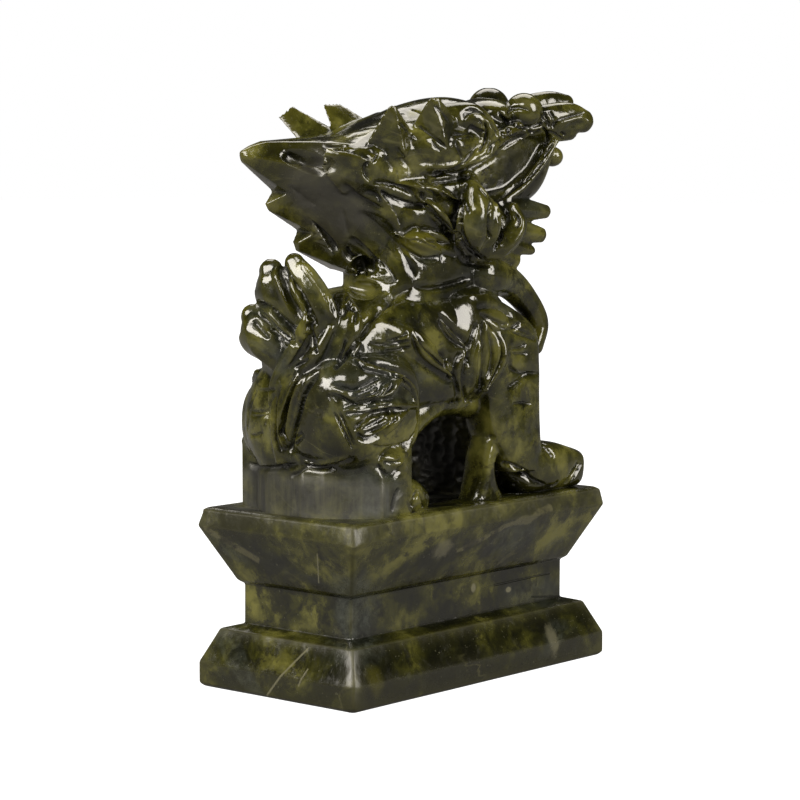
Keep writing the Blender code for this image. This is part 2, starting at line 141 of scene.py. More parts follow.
def skin(rings, start, end):
    """Quads between equal rings, and a fan to one point at each end: (points, faces) of a closed body."""
    count, sides, _ = rings.shape
    points = np.vstack((rings.reshape(-1, 3), start, end))
    n = np.arange(sides)
    following = (n + 1) % sides
    base = (count - 1) * sides
    first = np.column_stack((np.full(sides, count * sides), following, n))
    last = np.column_stack((np.full(sides, count * sides + 1), base + n, base + following))
    return points, quads_between(count, sides) + first.tolist() + last.tolist()


print("a skin over two rings of four has", len(skin(np.zeros((2, 4, 3)), (0, 0, 0), (0, 0, 0))[1]), "faces")

# %% The strand
ROUND_END = np.linspace(0, math.pi / 2, 5)[1:-1]  # the angles of the rings that round off an end


def strand(path, widths, depths, across=(0, 0, 1), keel=0.3, box=1.0, sides=28, steps=10):
    """ring(s, a) = line(s) + w/2 cos(a)^box * side + d/2 ((1-k) sin(a)^box + k (1 - |cos a|)) * out.
    The width w lies along `across`, the depth d at right angles to it, and k is the `keel`."""
    rows = through(np.column_stack((path, widths, depths)), steps)
    centre, width, depth = rows[:, :3], rows[:, 3], rows[:, 4]
    along = unit(np.gradient(centre, axis=0))
    out = unit(np.cross(along, np.asarray(across, float)))
    side = np.cross(out, along)
    parts = [(centre, along, side, out, width, depth)]
    for end, sign in ((0, -1), (-1, 1)):
        held = [np.repeat(a[end][None], len(ROUND_END), 0) for a in (along, side, out)]
        reach = 0.5 * min(width[end], depth[end]) * np.sin(ROUND_END)[:, None]
        shrink = np.cos(ROUND_END)
        cap = (centre[end] + sign * reach * held[0], *held, width[end] * shrink, depth[end] * shrink)
        parts = [tuple(a[::-1] for a in cap)] + parts if sign < 0 else parts + [cap]
    centre, along, side, out, width, depth = (np.concatenate(a) for a in zip(*parts))
    angle = np.linspace(0, 2 * math.pi, sides, endpoint=False)
    x, y = power(np.cos(angle), box), power(np.sin(angle), box)
    y = (1 - keel) * y + keel * np.sign(y) * (1 - np.abs(x))
    rings = (centre[:, None] + 0.5 * width[:, None, None] * x[None, :, None] * side[:, None]
             + 0.5 * depth[:, None, None] * y[None, :, None] * out[:, None])
    nib = 0.15 * min(width[0], depth[0]), 0.15 * min(width[-1], depth[-1])
    return skin(rings, centre[0] - nib[0] * along[0], centre[-1] + nib[1] * along[-1])


def head_strand(path, widths, depths, across=(0, 0, 1), keel=0.3, **more):
    """A strand whose places and `across` are given along the head's axes."""
    return strand([head(*p) for p in path], widths, depths, np.asarray(across, float) @ HEAD_AXES, keel,
                  **more)


print("a test lock has", len(strand([(0, 0, 0), (0, 0, 9)], (3, 1), (3, 1), (0, 1, 0))[1]), "faces")

# %% [markdown]
# ## The rounded mass, the column and the sawn body
#
# Three more shapes make the bulk. A mass is a superellipsoid, a ball that can be pushed towards a box,
# as thighs and shoulders are on a figure that must fit its block. A column stacks rounded rectangles
# for legs and neck. A sawn body is the convex hull of a few corners, for the flat planes that the saw
# left on the back of the head.

# %% Mass, column and sawn body
def mass(centre, radii, square=2.0, turn=None, sides=56):
    """x = cos(lat)^p cos(lon)^p, y = cos(lat)^p sin(lon)^p, z = sin(lat)^p, p = 2 / square, then scaled."""
    lat = np.linspace(-math.pi / 2, math.pi / 2, sides // 2 + 1)[1:-1, None]
    lon = np.linspace(0, 2 * math.pi, sides, endpoint=False)[None]
    p = 2.0 / square
    shape = np.stack((power(np.cos(lat), p) * power(np.cos(lon), p),
                      power(np.cos(lat), p) * power(np.sin(lon), p),
                      power(np.sin(lat), p) + 0 * lon), -1)
    spread = np.asarray(radii, float)[:, None] * (np.eye(3) if turn is None else np.array(turn, float))
    centre = np.asarray(centre, float)
    return skin(shape @ spread + centre, centre - spread[2], centre + spread[2])


def column(levels, corner=0.5, sides=48):
    """Rounded rectangles (z, x0, x1, y0, y1) joined smoothly; `corner` is the power of cos and sin."""
    z, x0, x1, y0, y1 = through(levels).T
    angle = np.linspace(0, 2 * math.pi, sides, endpoint=False)
    x, y = power(np.cos(angle), corner)[None], power(np.sin(angle), corner)[None]
    rings = np.stack((0.5 * (x0 + x1)[:, None] + 0.5 * (x1 - x0)[:, None] * x,
                      0.5 * (y0 + y1)[:, None] + 0.5 * (y1 - y0)[:, None] * y,
                      z[:, None] + 0 * x), -1)
    return skin(rings, rings[0].mean(0), rings[-1].mean(0))


def hull(corners):
    """The convex body between the corners."""
    work = bmesh.new()
    for corner in corners:
        work.verts.new(corner)
    bmesh.ops.convex_hull(work, input=work.verts)
    bmesh.ops.delete(work, geom=[v for v in work.verts if not v.link_faces], context="VERTS")
    bmesh.ops.recalc_face_normals(work, faces=work.faces)
    work.verts.index_update()
    points = np.array([v.co[:] for v in work.verts])
    faces = [[v.index for v in face.verts] for face in work.faces]
    work.free()
    return points, faces


print("a test hull has", len(hull([(0, 0, 0), (1, 0, 0), (0, 1, 0), (0, 0, 1)])[1]), "faces")

# %% The same shapes on the head
def head_mass(centre, radii, square=2.0):
    """A mass turned with the head."""
    return mass(head(*centre), radii, square, HEAD_AXES)


def head_hull(corners):
    """A sawn body on the head, given by the corners of its left half."""
    return hull([head(f, side * l, u) for f, l, u in corners for side in (-1, 1)])


shapes = []  # every rough body of the figure, as (points, faces)
NEAR_AND_FAR = (-1, 1)  # the beast's right side, which faces the viewer, and its left side
print("a ball on the head has", len(head_mass((0, 0, 0), (1, 1, 1))[0]), "points")

# %% [markdown]
# ## Haunches
#
# The beast sits on its haunches. Two boxy thighs flank a round rump, flames of fur lie across each, and
# under them the carver left the block uncut, with only its corners taken off. A hind paw pokes out of
# that block on each side under the tuft of the hock.

# %% Haunches and hind paws
SEAT = ((-24, -22.3), (-35, -22.3), (-40.5, -17), (-44.2, -12), (-46, -6),
        (-45.3, 5.7), (-43.3, 10.5), (-38, 16), (-24, 18))  # the block under the haunches, in plan


def haunches():
    """Rump and thighs, their fur, the uncut block below and the hind paws."""
    yield mass((-29, 4, 66.5), (18.5, 17.5, 19.5))
    yield mass((-32.7, -11, 70), (16.3, 13, 14.5), 2.9)
    yield mass((-29.3, 10.6, 65.8), (14.3, 11.7, 12.8), 2.4)
    # Flames of fur: one hangs, one lies level, one rises to the knee.
    flames = (((-44, 6, 78), (-38, 0.6, 74.2), (-28.5, 1, 78.4), 4.6),
              ((-46, 9.5, 70.6), (-38, 1.2, 72), (-24.5, 0.6, 71), 4.0),
              ((-42, 3.5, 64.4), (-35, 0, 67.4), (-28, 0.4, 70), 4.4))
    for side, out, ahead in ((-1, 23.8, 0), (1, 21.2, 6)):
        for back, middle, front, wide in flames:
            path = [(x + ahead, (out - deep) * side, z) for x, deep, z in (back, middle, front)]
            yield strand(path, (1.6, wide, 1.6), (3, 4, 3), (0, 0, 1), 0.4)
    # The block below is left as it was sawn, with its rear corners taken off wide.
    yield hull([(x, y, z) for x, y in SEAT for z in (FLOOR, 62)])
    yield hull([(x, y, z) for x in (-39.3, -24) for y in (8, 20.2) for z in (FLOOR, 60)])
    for side in NEAR_AND_FAR:
        toe = 0.0 if side < 0 else -1.5
        yield strand([(-30, 17.5 * side, 48), (-22, 17.5 * side, 48), (-17.5 + toe, 17 * side, 47)],
                     (9, 10, 8), (9, 10, 8.5), (0, 1, 0), 0)
        # The hock's tuft points forward above the paw.
        yield strand([(-36, 18 * side, 60), (-29, 19.5 * side, 57.5), (-23.5, 20 * side, 53.5)],
                     (8, 8, 2), (8, 7, 2), (0, 1, 0), 0.4)


shapes += haunches()

# %% [markdown]
# ## Trunk, forelegs and neck
#
# The trunk is one deep barrel with a flat back that rises to the shoulders. The forelegs stand upright
# like posts, each with a long paw, and between them the carver left a web of rough stone. A hole runs
# under the belly from side to side. The neck is a thick post with flat sides.

# %% Trunk
def trunk():
    """The barrel of the body, the shoulders, the folds of the loin and the sides of the belly."""
    yield strand([(-30, -1, 80), (-18, 0, 82), (0, 0, 82.5), (15, 0, 81)],
                 (35, 38, 41, 38), (31, 33, 33, 32), (0, 1, 0), 0, box=0.62, sides=64)
    for side in NEAR_AND_FAR:
        yield mass((6, 12 * side, 84), (15, 10, 15), 2.5)
        # Over the loin a fold runs from the back towards the elbow.
        yield strand([(-31, 14 * side, 91), (-20, 18 * side, 86), (-8, 19.5 * side, 78)],
                     (5, 7, 4), (5, 6, 4), (0, 0, 1), 0.3)
        # The belly hangs lower along its sides, so the hole under it has a round top.
        yield strand([(-20, 12.5 * side, 61.5), (-14, 12.5 * side, 66), (-7, 12.5 * side, 69.4),
                      (0, 12.5 * side, 70), (8, 12.5 * side, 69)], (9,) * 5, (8,) * 5, (0, 1, 0), 0)
        # A long lens stands out on the shoulder.
        yield strand([(6, 20 * side, 90), (10, 22 * side, 82), (5.5, 21 * side, 73)],
                     (2, 6.5, 2), (3, 4, 3), (1, 0, 0), 0.4)


shapes += trunk()

# %% Forelegs
def forelegs():
    """Two posts with long paws and heel stubs, and the web of stone between them."""
    for side in NEAR_AND_FAR:
        def level(z, back, front, inner=8.0, outer=22.5):
            return z, back, front, *sorted((inner * side, outer * side))

        yield column([level(51, 15, 29, 11), level(55.5, 12.8, 29, 11), level(59.5, 9.8, 28.8, 10.5),
                      level(64, 9, 28.7, 9), level(70, 8, 28.7), level(78, 6, 28.7), level(86, 3, 27.5),
                      level(91, 1, 21.5, 9, 21.5), level(96.5, 1, 10, 11, 19.5)], 0.5)
        yield strand([(26, 15 * side, 51), (34, 15.5 * side, 50.9), (43.7, 16 * side, 49.6)],
                     (15, 15, 12.6), (13.5, 13, 10.6), (0, 1, 0), 0, box=0.62)
        # The heel stands on a stub of stone, with a hollow between it and the toes.
        low, high = sorted((12 * side, 20 * side))
        yield column([(FLOOR, 3, 18, low, high), (47, 5, 14, low, high), (51, 6.5, 12, low, high),
                      (55, 7.5, 12.5, low, high), (60, 9, 17, low, high)], 0.6)
    yield column([(FLOOR, 12, 27, -12, 12), (60, 11, 27, -12, 12), (74, 2, 28, -10, 10)], 0.5)
    yield mass((18, 0, 84), (13, 17, 13), 2.3)


shapes += forelegs()

# %% Neck and the loop on the chest
def neck():
    """A thick post with flat sides."""
    yield column([(90, -23.5, 14, -17, 9), (97, -21, 15, -16.5, 8), (106, -19.5, 15, -16.5, 9.5),
                  (118, -20, 15, -17, 12)], 0.55)


def chest_loop():
    """The end of the beard, drawn down in a loop to the chest."""
    yield strand([(12, -13.5, 101), (21.5, -14.5, 99), (28.5, -15.3, 94), (32.5, -16.2, 88),
                  (30.5, -17, 82)],
                 (12, 9, 7, 6, 4.6), (12, 8.4, 7, 6, 4.6), (0, 1, 0), 0)


shapes += [*neck(), *chest_loop()]

# %% [markdown]
# ## Tail
#
# The tail is a flame that stands up the beast's rear: a stem that opens into three leaf-shaped locks
# with a crease down each, and loose strands that sweep up beside it.

# %% Tail
def tail():
    """A stem, three locks and the ridges that sweep up beside them."""
    yield strand([(-45, 0, 58), (-45.5, 0, 66), (-44.5, -2, 76), (-42, -5, 86), (-42, -6, 92)],
                 (4, 6, 10, 17, 17), (6, 8, 9, 10, 8), (0, 1, 0), 0.1)
    locks = (
        # base, middle, tip, greatest width
        ((-42, -4, 84), (-44.4, 2, 95.5), (-45.2, 4.3, 103.4), 14),
        ((-40, -10, 82), (-42.3, -9, 93), (-44.3, -2.8, 105), 11.4),
        ((-41.5, -1, 80), (-44.6, 7, 86), (-44.9, 11, 92.2), 13),
    )
    for low, mid, tip, wide in locks:
        top = 0.35 * np.array(mid) + 0.65 * np.array(tip)
        yield strand([low, mid, top, tip], (0.6 * wide, wide, 0.88 * wide, 0.55 * wide), (8, 9, 8.4, 5.5),
                     (0, 1, 0.3), 0.5, sides=40)
    # Two ridges sweep up the stem.
    yield strand([(-46.3, 0, 60), (-46.8, 0, 67), (-46.3, -3, 75), (-45.5, -10, 83), (-43.5, -13.5, 90)],
                 (2.5, 3, 3.4, 3.4, 2), (3, 3, 3, 3, 2), (0, 1, 0), 0)
    yield strand([(-46.8, 2, 66), (-47.3, 1, 76), (-47.4, -4, 84), (-46.5, -9, 93)],
                 (2, 3, 3, 2), (3, 3, 3, 2), (0, 1, 0), 0)
    # Where the spine meets the tail.
    yield strand([(-40, -12, 82), (-38, -13, 90), (-36, -10, 96)], (9, 10, 6), (9, 9, 5), (0, 1, 0), 0.2)


shapes += tail()

# %% [markdown]
# ## Head: skull, jaws and mane
#
# The head is a wedge. Behind, the mane is cut flat like a ship's stern and drawn out to three points
# down the nape. In front, the snout and the lower jaw meet, with the hollow of the mouth between them.

# %% Skull
def stern(forward, up):
    """How far out the flat side of the mane lies: 0.62 times the distance ahead of the line that its
    points follow, and a little more."""
    return 0.62 * (forward + 51 - 0.73 * (6 - up)) + 0.8


def plate(outline):
    """The part of the mane between its two flat sides, for an outline seen from the side."""
    return hull([head(f, side * stern(f, u), u) for f, u in outline for side in (-1, 1)])


def skull():
    """The wedge of the skull, the snout, the lower jaw and the stone inside the mouth."""
    # The top lock of the mane, drawn out to a point behind.
    yield head_hull([(-50.3, 0.5, 6.8), (-50, 0.8, 5), (-47.5, 1, 8.2), (-44, 2, 9.2), (-34, 6, 9.5),
                     (-22, 12, 9), (-23, 2, 11), (-33, 10.5, 3)])
    # The flat sides of the mane and of the nape.
    yield plate([(-49.8, 6), (-49.6, 4.2), (-42.3, -0.3), (-28, -10.5), (-26, 2), (-34, 2.5)])
    yield plate([(-39, -2.5), (-31.2, -12.6), (-19, -23), (-9, -25.5), (-15.5, -8), (-24, 3), (-32, 2)])
    # The blunt back of the head.
    yield head_hull([(-23, 2, 11), (-8, 6, 16.5), (-30, 12, 7), (-22, 16.5, 7.5), (-8, 17, 9),
                     (-22, 15, -1), (-10, 16, -6), (-6, 14, -23.5), (4, 14, -18)])
    yield head_strand([(-14, 0, 4), (-5, 0, 8.8), (7, 0, 12.3), (18, 0, 11.5)],
                      (16, 18, 16.5, 14), (22, 26, 24, 20), (0, 0, 1), 0.1, sides=40)
    yield head_strand([(14, 0, 12), (26, 0, 13), (36, -1, 13.5), (42, -1, 14)],
                      (13, 9, 8, 6), (20, 17, 15, 11), (0, 0, 1), 0.1, sides=40)
    # Lower jaw, rising to meet the nose.
    yield head_strand([(8, 0, -8), (22, 0, -4.5), (30, -1.5, -0.8), (35.5, -2, 7)],
                      (13, 9, 9.5, 6), (24, 20, 17, 13), (0, 0, 1), 0.1, sides=40)
    # The stone left inside the open mouth.
    yield head_hull([(8, 8, 10), (24, 7.5, 11), (36, 4.5, 11), (37, 4.5, 7), (31, 6, 0), (20, 7.5, -6),
                     (8, 8, -6)])
    yield head_mass((-2, -1, -6), (18, 15, 13), 2.4)


shapes += skull()

# %% Mane
def mane_locks():
    """A side lock behind the ears, and two more points of the mane down the nape."""
    for side in NEAR_AND_FAR:
        yield hull([head(f, out * side, u) for f, out, u in (
            (-33.5, 11.5, 8.3), (-26, 15, 8.5), (-18, 15, 9), (-34.5, 11.3, 3), (-31.5, 14.6, 7),
            (-24, 17.8, 6), (-28.5, 11.5, -3), (-24.5, 16.8, 0), (-12, 15, -4))])
    yield plate([(-43.2, -5.8), (-42.3, -7.5), (-36.5, -1.3), (-28, -2), (-24, -12), (-31, -13)])
    yield plate([(-34.5, -15.2), (-34, -17.4), (-31, -12.2), (-22, -6), (-14, -20), (-20.5, -22.8)])


shapes += mane_locks()

# %% [markdown]
# ## Head: crest, face and beard
#
# Pointed ears stand along the upper edges, a curl rolls over before them, and a lip runs under the eye.
# The nostrils end in two leaf-shaped lobes. Along each cheek lie leaves and one large curled leaf, and
# under the chin a fringe of points.

# %% Crest and lips
def crest():
    """Ears, brows, the curls before the ears and the lips."""
    # Each ear is a sawn three-sided point: the foot runs along the head, the ridge faces outward.
    ears = (
        # rear foot, front foot, two ends of the blunt tip, place of the ridge's foot
        ((-25.5, 12, 8), (-13, 12, 10), (-30, 18, 14.6), (-26, 18, 17.4), (-19, 17, 8)),
        ((-17, 12, 10), (-3, 12, 12), (-17.2, 18, 17.9), (-12.2, 18, 18.2), (-10, 17, 10)),
        ((-23.5, -13, 8), (-10, -14, 12), (-19.8, -18, 18.9), (-18.2, -18.3, 18.9), (-15, -18.8, 6)),
        ((-10.5, -13, 12), (4.5, -14, 13), (-8.3, -18, 21), (-5.8, -18.3, 21.1), (-3.5, -19, 8)),
    )
    for back, front, tip, tip_ahead, ridge in ears:
        sunk = [(p[0], 0.72 * p[1], p[2] - 3) for p in (back, front)]
        yield hull([head(*p) for p in (back, front, tip, tip_ahead, ridge, *sunk)])
    for side in NEAR_AND_FAR:
        yield head_mass((-2, 9.5 * side, 8.5), (16, 9, 7))
        low = 0 if side < 0 else 1.8
        yield head_strand([(0, 11 * side, 15 - low), (7, 13.5 * side, 15.5 - low),
                           (11.5, 14 * side, 11 - low), (7, 14.5 * side, 7)],
                          (7, 7, 6, 5), (8, 8, 7, 6), (0, 1, 0), 0.2)
        # The lip: a long roll from the corner of the mouth to under the eye.
        yield head_strand([(-9, 14 * side, 4), (0, 15 * side, 4.5), (9, 14.5 * side, 7),
                           (15, 12 * side, 10), (24, 9 * side, 13.5)],
                          (3, 4, 4, 3.5, 3), (6, 6, 6, 5, 4), (0, 0, 1), 0.2)


shapes += crest()

# %% Eyes, nose and teeth ridge
def face():
    """Eyes, nose, the lobes of the nostrils and the ridge of the teeth."""
    yield head_mass((27.9, -6, 17.4), (4.9, 4.7, 4.6))
    yield head_mass((25.3, 6, 17.6), (5.6, 5, 5.4))
    yield head_mass((20, 0, 16.5), (7, 9, 4))
    yield head_strand([(33, 3, 17.5), (42, 3.2, 19.4), (47.5, 3, 19.6)], (7, 6, 4), (6, 5, 4))
    yield head_strand([(33, -6, 15), (41.5, -6.3, 15.8), (46.6, -6.4, 15)], (8, 8, 6), (5.8, 5.8, 5))
    yield head_strand([(34, -4, 11.5), (43, -5, 12)], (5, 4), (6, 5))
    yield head_mass((39.3, -3, 5.8), (2.8, 3, 2.6))
    for side in NEAR_AND_FAR:
        yield head_strand([(18.5, 9 * side, -6), (26, 9 * side, -1.5), (32.5, 8.5 * side, 5),
                           (36.5, 8 * side, 10)], (2.4, 2.4, 2.2, 2), (3, 3, 3, 2.4), (0, 0, 1), 0.2)


shapes += face()

# %% Cheek leaves and beard
def beard():
    """Leaves along the cheeks, the large leaf, the chin and the tips of the beard."""
    for side in NEAR_AND_FAR:
        # The large leaf of the cheek opens like a hand with three fingers.
        fingers = (
            (((8, 14, -16), (6.5, 17, -12), (7, 17, -6), (5.5, 14, 1.5)), (8, 11, 10, 3.5)),
            (((10, 14, -16), (11.5, 16.5, -11.5), (11.3, 16, -7), (10, 14, -2.5)), (7, 6, 5, 2.5)),
            (((10, 14, -17.5), (16.5, 15.2, -15.5), (20.7, 15.2, -11), (20.3, 14, -6.5)), (6, 6, 5, 3)),
        )
        for path, widths in fingers:
            yield head_strand([(f, out * side, u) for f, out, u in path], widths, (6, 6.5, 6, 3),
                              (1, 0, 0.2), 0.3)
        for back, out, low, back2, low2, wide in (
            (-16, 15, 0, 3, -4.5, 4.5), (-10, 15.5, -3, 0, -12, 4.5), (-15, 14.5, -12.5, -3, -17, 5),
        ):
            middle = (0.5 * (back + back2), (out + 1.5) * side, 0.5 * (low + low2) + 0.6)
            yield head_strand([(back, out * side, low), middle, (back2, out * side, low2)],
                              (1.5, wide, 1.5), (4, 5, 4), (0, 0, 1), 0.4)
    yield head_mass((15, -1, -12), (11, 14, 9))
    for root, tip, wide, blunt, across in (
        ((22, -8, -7), (34.6, -8, -8), 8, 3.6, (0, 0, 1)),
        ((21, -8, -12), (33.5, -8, -14), 8, 4, (0, 0, 1)),
        ((19, -8, -15), (30.2, -8, -17.8), 7, 2.6, (0, 0, 1)),
        ((16, -8, -16), (25.6, -8, -20.6), 8, 4.4, (0.6, 0, 0.8)),
        ((18, 3, -10), (30, 4, -10), 8, 2, (0, 0, 1)),
        ((16, 3, -14), (27, 5, -17), 8, 2, (0, 0, 1)),
    ):
        yield head_strand([root, tip], (wide, blunt), (8, 2.4), across, 0.5)


shapes += beard()

# %% [markdown]
# ## One skin over all of it
#
# Booleans between dozens of bodies are slow and fail where two faces nearly coincide. A voxel remesh
# fuses them at once: it lays a fine grid through the figure and draws one skin round what is solid.
# The grid has to be finer than the smallest form, and a light smoothing takes its steps away.

# %% Meshes in and out
def mesh_of(name, bodies):
    """One mesh from many (points, faces), in metres."""
    points, faces, base = [], [], 0
    for body_points, body_faces in bodies:
        points.append(body_points)
        faces += [[base + n for n in face] for face in body_faces]
        base += len(body_points)
    mesh = bpy.data.meshes.new(name)
    mesh.from_pydata((np.vstack(points) * MM).tolist(), [], faces)
    mesh.update()
    return mesh


def linked(name, data):
    """An object of this data in the scene."""
    made = bpy.data.objects.new(name, data)
    bpy.context.scene.collection.objects.link(made)
    return made


def as_modified(source):
    """A plain mesh of an object as its modifiers leave it; the object itself is removed."""
    mesh = bpy.data.meshes.new_from_object(source.evaluated_get(bpy.context.evaluated_depsgraph_get()))
    bpy.data.objects.remove(source)
    return mesh


def read(mesh):
    """(points in mm, vertex normals, edges) of a mesh as arrays."""
    points, normals = np.empty(len(mesh.vertices) * 3), np.empty(len(mesh.vertices) * 3)
    ends = np.empty(len(mesh.edges) * 2, np.int32)
    mesh.vertices.foreach_get("co", points)
    mesh.vertex_normals.foreach_get("vector", normals)
    mesh.edges.foreach_get("vertices", ends)
    return points.reshape(-1, 3) / MM, normals.reshape(-1, 3), ends.reshape(-1, 2)


print("the rough figure has", sum(len(body[1]) for body in shapes), "faces before fusing")

# %% Fuse the bodies
VOXEL = 0.34  # size of the grid's cells


def largest_shell(mesh):
    """The mesh without any loose shell but the largest, such as the skin of a sealed bubble."""
    points, _, ends = read(mesh)
    label = np.arange(len(points))
    while True:
        low = np.minimum(label[ends[:, 0]], label[ends[:, 1]])
        new = label.copy()
        np.minimum.at(new, ends[:, 0], low)
        np.minimum.at(new, ends[:, 1], low)
        new = new[new]
        if (new == label).all():
            break
        label = new
    kept = label == np.bincount(label).argmax()
    work = bmesh.new()
    work.from_mesh(mesh)
    bmesh.ops.delete(work, geom=[v for v, keep in zip(work.verts, kept) if not keep], context="VERTS")
    work.to_mesh(mesh)
    work.free()
    return mesh


rough = linked("rough", mesh_of("rough", shapes))
remesh = rough.modifiers.new("fuse", "REMESH")
remesh.mode = "VOXEL"
remesh.voxel_size = VOXEL * MM
soften = rough.modifiers.new("soften", "SMOOTH")
soften.factor = 0.5
soften.iterations = 3
carved = largest_shell(as_modified(rough))
print("the fused skin has", len(carved.polygons), "faces")

# %% [markdown]
# ## Cuts with the wheel
#
# A carver draws on the stone and then cuts along the lines. The drawing planes here are the sides of the
# block and of the head. A cut is a line on such a plane with a depth and a width to each side: narrow on
# both sides it is an incised line, narrow on one side and wide on the other it lifts one form over the
# next, and with a negative depth it is a raised ridge. Its ends taper to nothing, as a wheel leaves them.

# %% The drawing planes
# Each plane is a place on it, its two directions, and the direction that it faces.
X, Y, Z = np.eye(3)
SIDE = (np.zeros(3), X, Z, -Y)
REAR = (np.zeros(3), -Y, Z, -X)
CORNER = (np.zeros(3), (X - Y) / 2**0.5, Z, (-X - Y) / 2**0.5)
CHEEK = (HEAD_CENTRE, FORWARD, UP, -LEFT)


def across_from(plane):
    """The same drawing plane on the other side of the figure."""
    return *plane[:3], -plane[3]


print("from the other side the planes face", [across_from(p)[3].round(2).tolist() for p in (SIDE, CHEEK)])

# %% Places and facing of the skin
stone_points, _, _ = read(carved)
stone_quads = np.empty(len(carved.loops), np.int32)
carved.loops.foreach_get("vertex_index", stone_quads)
stone_quads = stone_quads.reshape(-1, 4)


def facing_of(points):
    """Unit normals: at each point the sum of the cross products of its quads' diagonals, summed twice
    more over the quads around, so that small steps don't count."""
    places = points[stone_quads]
    per_quad = np.cross(places[:, 2] - places[:, 0], places[:, 3] - places[:, 1])
    for _ in range(3):
        total = np.stack([np.bincount(stone_quads.ravel(), np.repeat(per_quad[:, k], 4), len(points))
                          for k in range(3)], 1)
        per_quad = total[stone_quads].sum(1)
    return unit(total)


stone_facing = facing_of(stone_points)
print("ready to cut", len(stone_points), "points")

# %% Distance to a line
def from_line(places, line):
    """For places on a drawing plane: the distance to a line, positive on its left, and the share of the
    line's length at which it is nearest. On each stretch a..b, t = (p-a).(b-a) / |b-a|^2 within 0..1."""
    run = np.diff(line, axis=0)
    length = np.linalg.norm(run, axis=1)
    reached = np.concatenate(([0], np.cumsum(length)))
    best = np.full(len(places), np.inf)
    signed, share = np.zeros(len(places)), np.zeros(len(places))
    for k, step in enumerate(run):
        rel = places - line[k]
        t = np.clip(rel @ step / length[k] ** 2, 0, 1)
        miss = rel - t[:, None] * step
        gap = np.hypot(miss[:, 0], miss[:, 1])
        near = gap < best
        best[near] = gap[near]
        turn = step[0] * miss[near, 1] - step[1] * miss[near, 0]
        signed[near] = gap[near] * np.where(turn < 0, -1, 1)
        share[near] = (reached[k] + t[near] * length[k]) / reached[-1]
    return signed, share


print("from (1, 1) to a line along x:", from_line(np.array([(1.0, 1.0)]), np.array([(0.0, 0), (4, 0)])))

# %% Cut and scoop
FACING = 0.12  # a cut reaches only the skin that faces its drawing plane


def cut(plane, line, depth, left, right, behind, ends=0.2):
    """Move the skin in by depth * taper * (1 - |d| / w)^p, with d the distance to the line, w the width
    on that side and p = 1 + min(1, w / 3). Only skin that stands further out than `behind` moves."""
    origin, across, up, out = plane
    path = through(line)
    reach = max(left, right)
    places = stone_points - origin
    flat = np.column_stack((places @ across, places @ up))
    low, high = path.min(0) - reach, path.max(0) + reach
    near = ((flat > low) & (flat < high)).all(1) & (stone_facing @ out > FACING)
    chosen = np.flatnonzero(near & (places @ out > behind))
    signed, share = from_line(flat[chosen], path)
    width = np.where(signed > 0, left, right)
    fall = np.clip(1 - np.abs(signed) / width, 0, 1) ** (1 + np.minimum(1, width / 3))
    taper = np.sin(0.5 * math.pi * np.clip(np.minimum(share, 1 - share) / ends, 0, 1))
    stone_points[chosen] -= (depth * fall * taper)[:, None] * stone_facing[chosen]


def scoop(plane, centre, radii, degrees, depth, behind=0):
    """A hollow, depth * (1 - q)^1.5, where q is the squared distance from the centre in units of radii."""
    origin, across, up, out = plane
    places = stone_points - origin
    flat = np.column_stack((places @ across, places @ up)) - centre
    c, s = math.cos(math.radians(degrees)), math.sin(math.radians(degrees))
    q = ((flat @ (c, s)) / radii[0]) ** 2 + ((flat @ (-s, c)) / radii[1]) ** 2
    chosen = np.flatnonzero((q < 1) & (stone_facing @ out > FACING) & (places @ out > behind))
    stone_points[chosen] -= (depth * (1 - q[chosen]) ** 1.5)[:, None] * stone_facing[chosen]


print("cuts reach skin within", round(math.degrees(math.acos(FACING))), "degrees of their plane's facing")

# %% Leaves and lists of cuts
FADE = 1.8  # over how many millimetres the stone beside a leaf is lowered
RIM = 0.5   # and over how many the leaf itself
STROKE_DEPTH, STROKE_WIDTH = 0.7, 0.6


def spaced(line):
    """Seven places at equal shares of a smooth line's length."""
    path = through(line)
    reached = np.concatenate(([0], np.cumsum(np.linalg.norm(np.diff(path, axis=0), axis=1))))
    at = np.linspace(0, reached[-1], 7)
    return np.column_stack([np.interp(at, reached, path[:, k]) for k in (0, 1)])


def leaf(plane, upper, lower, lift, strokes, behind):
    """Two edges from root to tip that stand over the stone beside them, and strokes spread between."""
    cut(plane, upper, lift, FADE, RIM, behind, 0.15)
    cut(plane, lower, lift, RIM, FADE, behind, 0.15)
    first, last = spaced(upper), spaced(lower)
    for k in range(strokes):
        share = (k + 1) / (strokes + 1)
        stroke = (first + (last - first) * share)[1:-1]
        cut(plane, stroke, STROKE_DEPTH, STROKE_WIDTH, STROKE_WIDTH, behind)


def apply(plane, leaves, cuts, behind):
    """Cut whole lists. A leaf is (upper edge, lower edge, lift, strokes). A cut is (line, depth, width to
    the left, width to the right), or has one width for both sides."""
    for upper, lower, lift, strokes in leaves:
        leaf(plane, upper, lower, lift, strokes, behind)
    for line, depth, *widths in cuts:
        cut(plane, line, depth, widths[0], widths[-1], behind)


print("a line of length 10 has places at", spaced([(0, 0), (5, 0), (10, 0)])[:, 0].round(1).tolist())

# %% [markdown]
# ## Fur on thighs, flanks and legs
#
# Each thigh carries flames of fur inside a long curved rim, the flank has leaves and loose strokes, and
# the shoulder a long lens. The far side isn't a mirror image in every way, but its fur follows the same
# drawing, so one list of lines serves both.

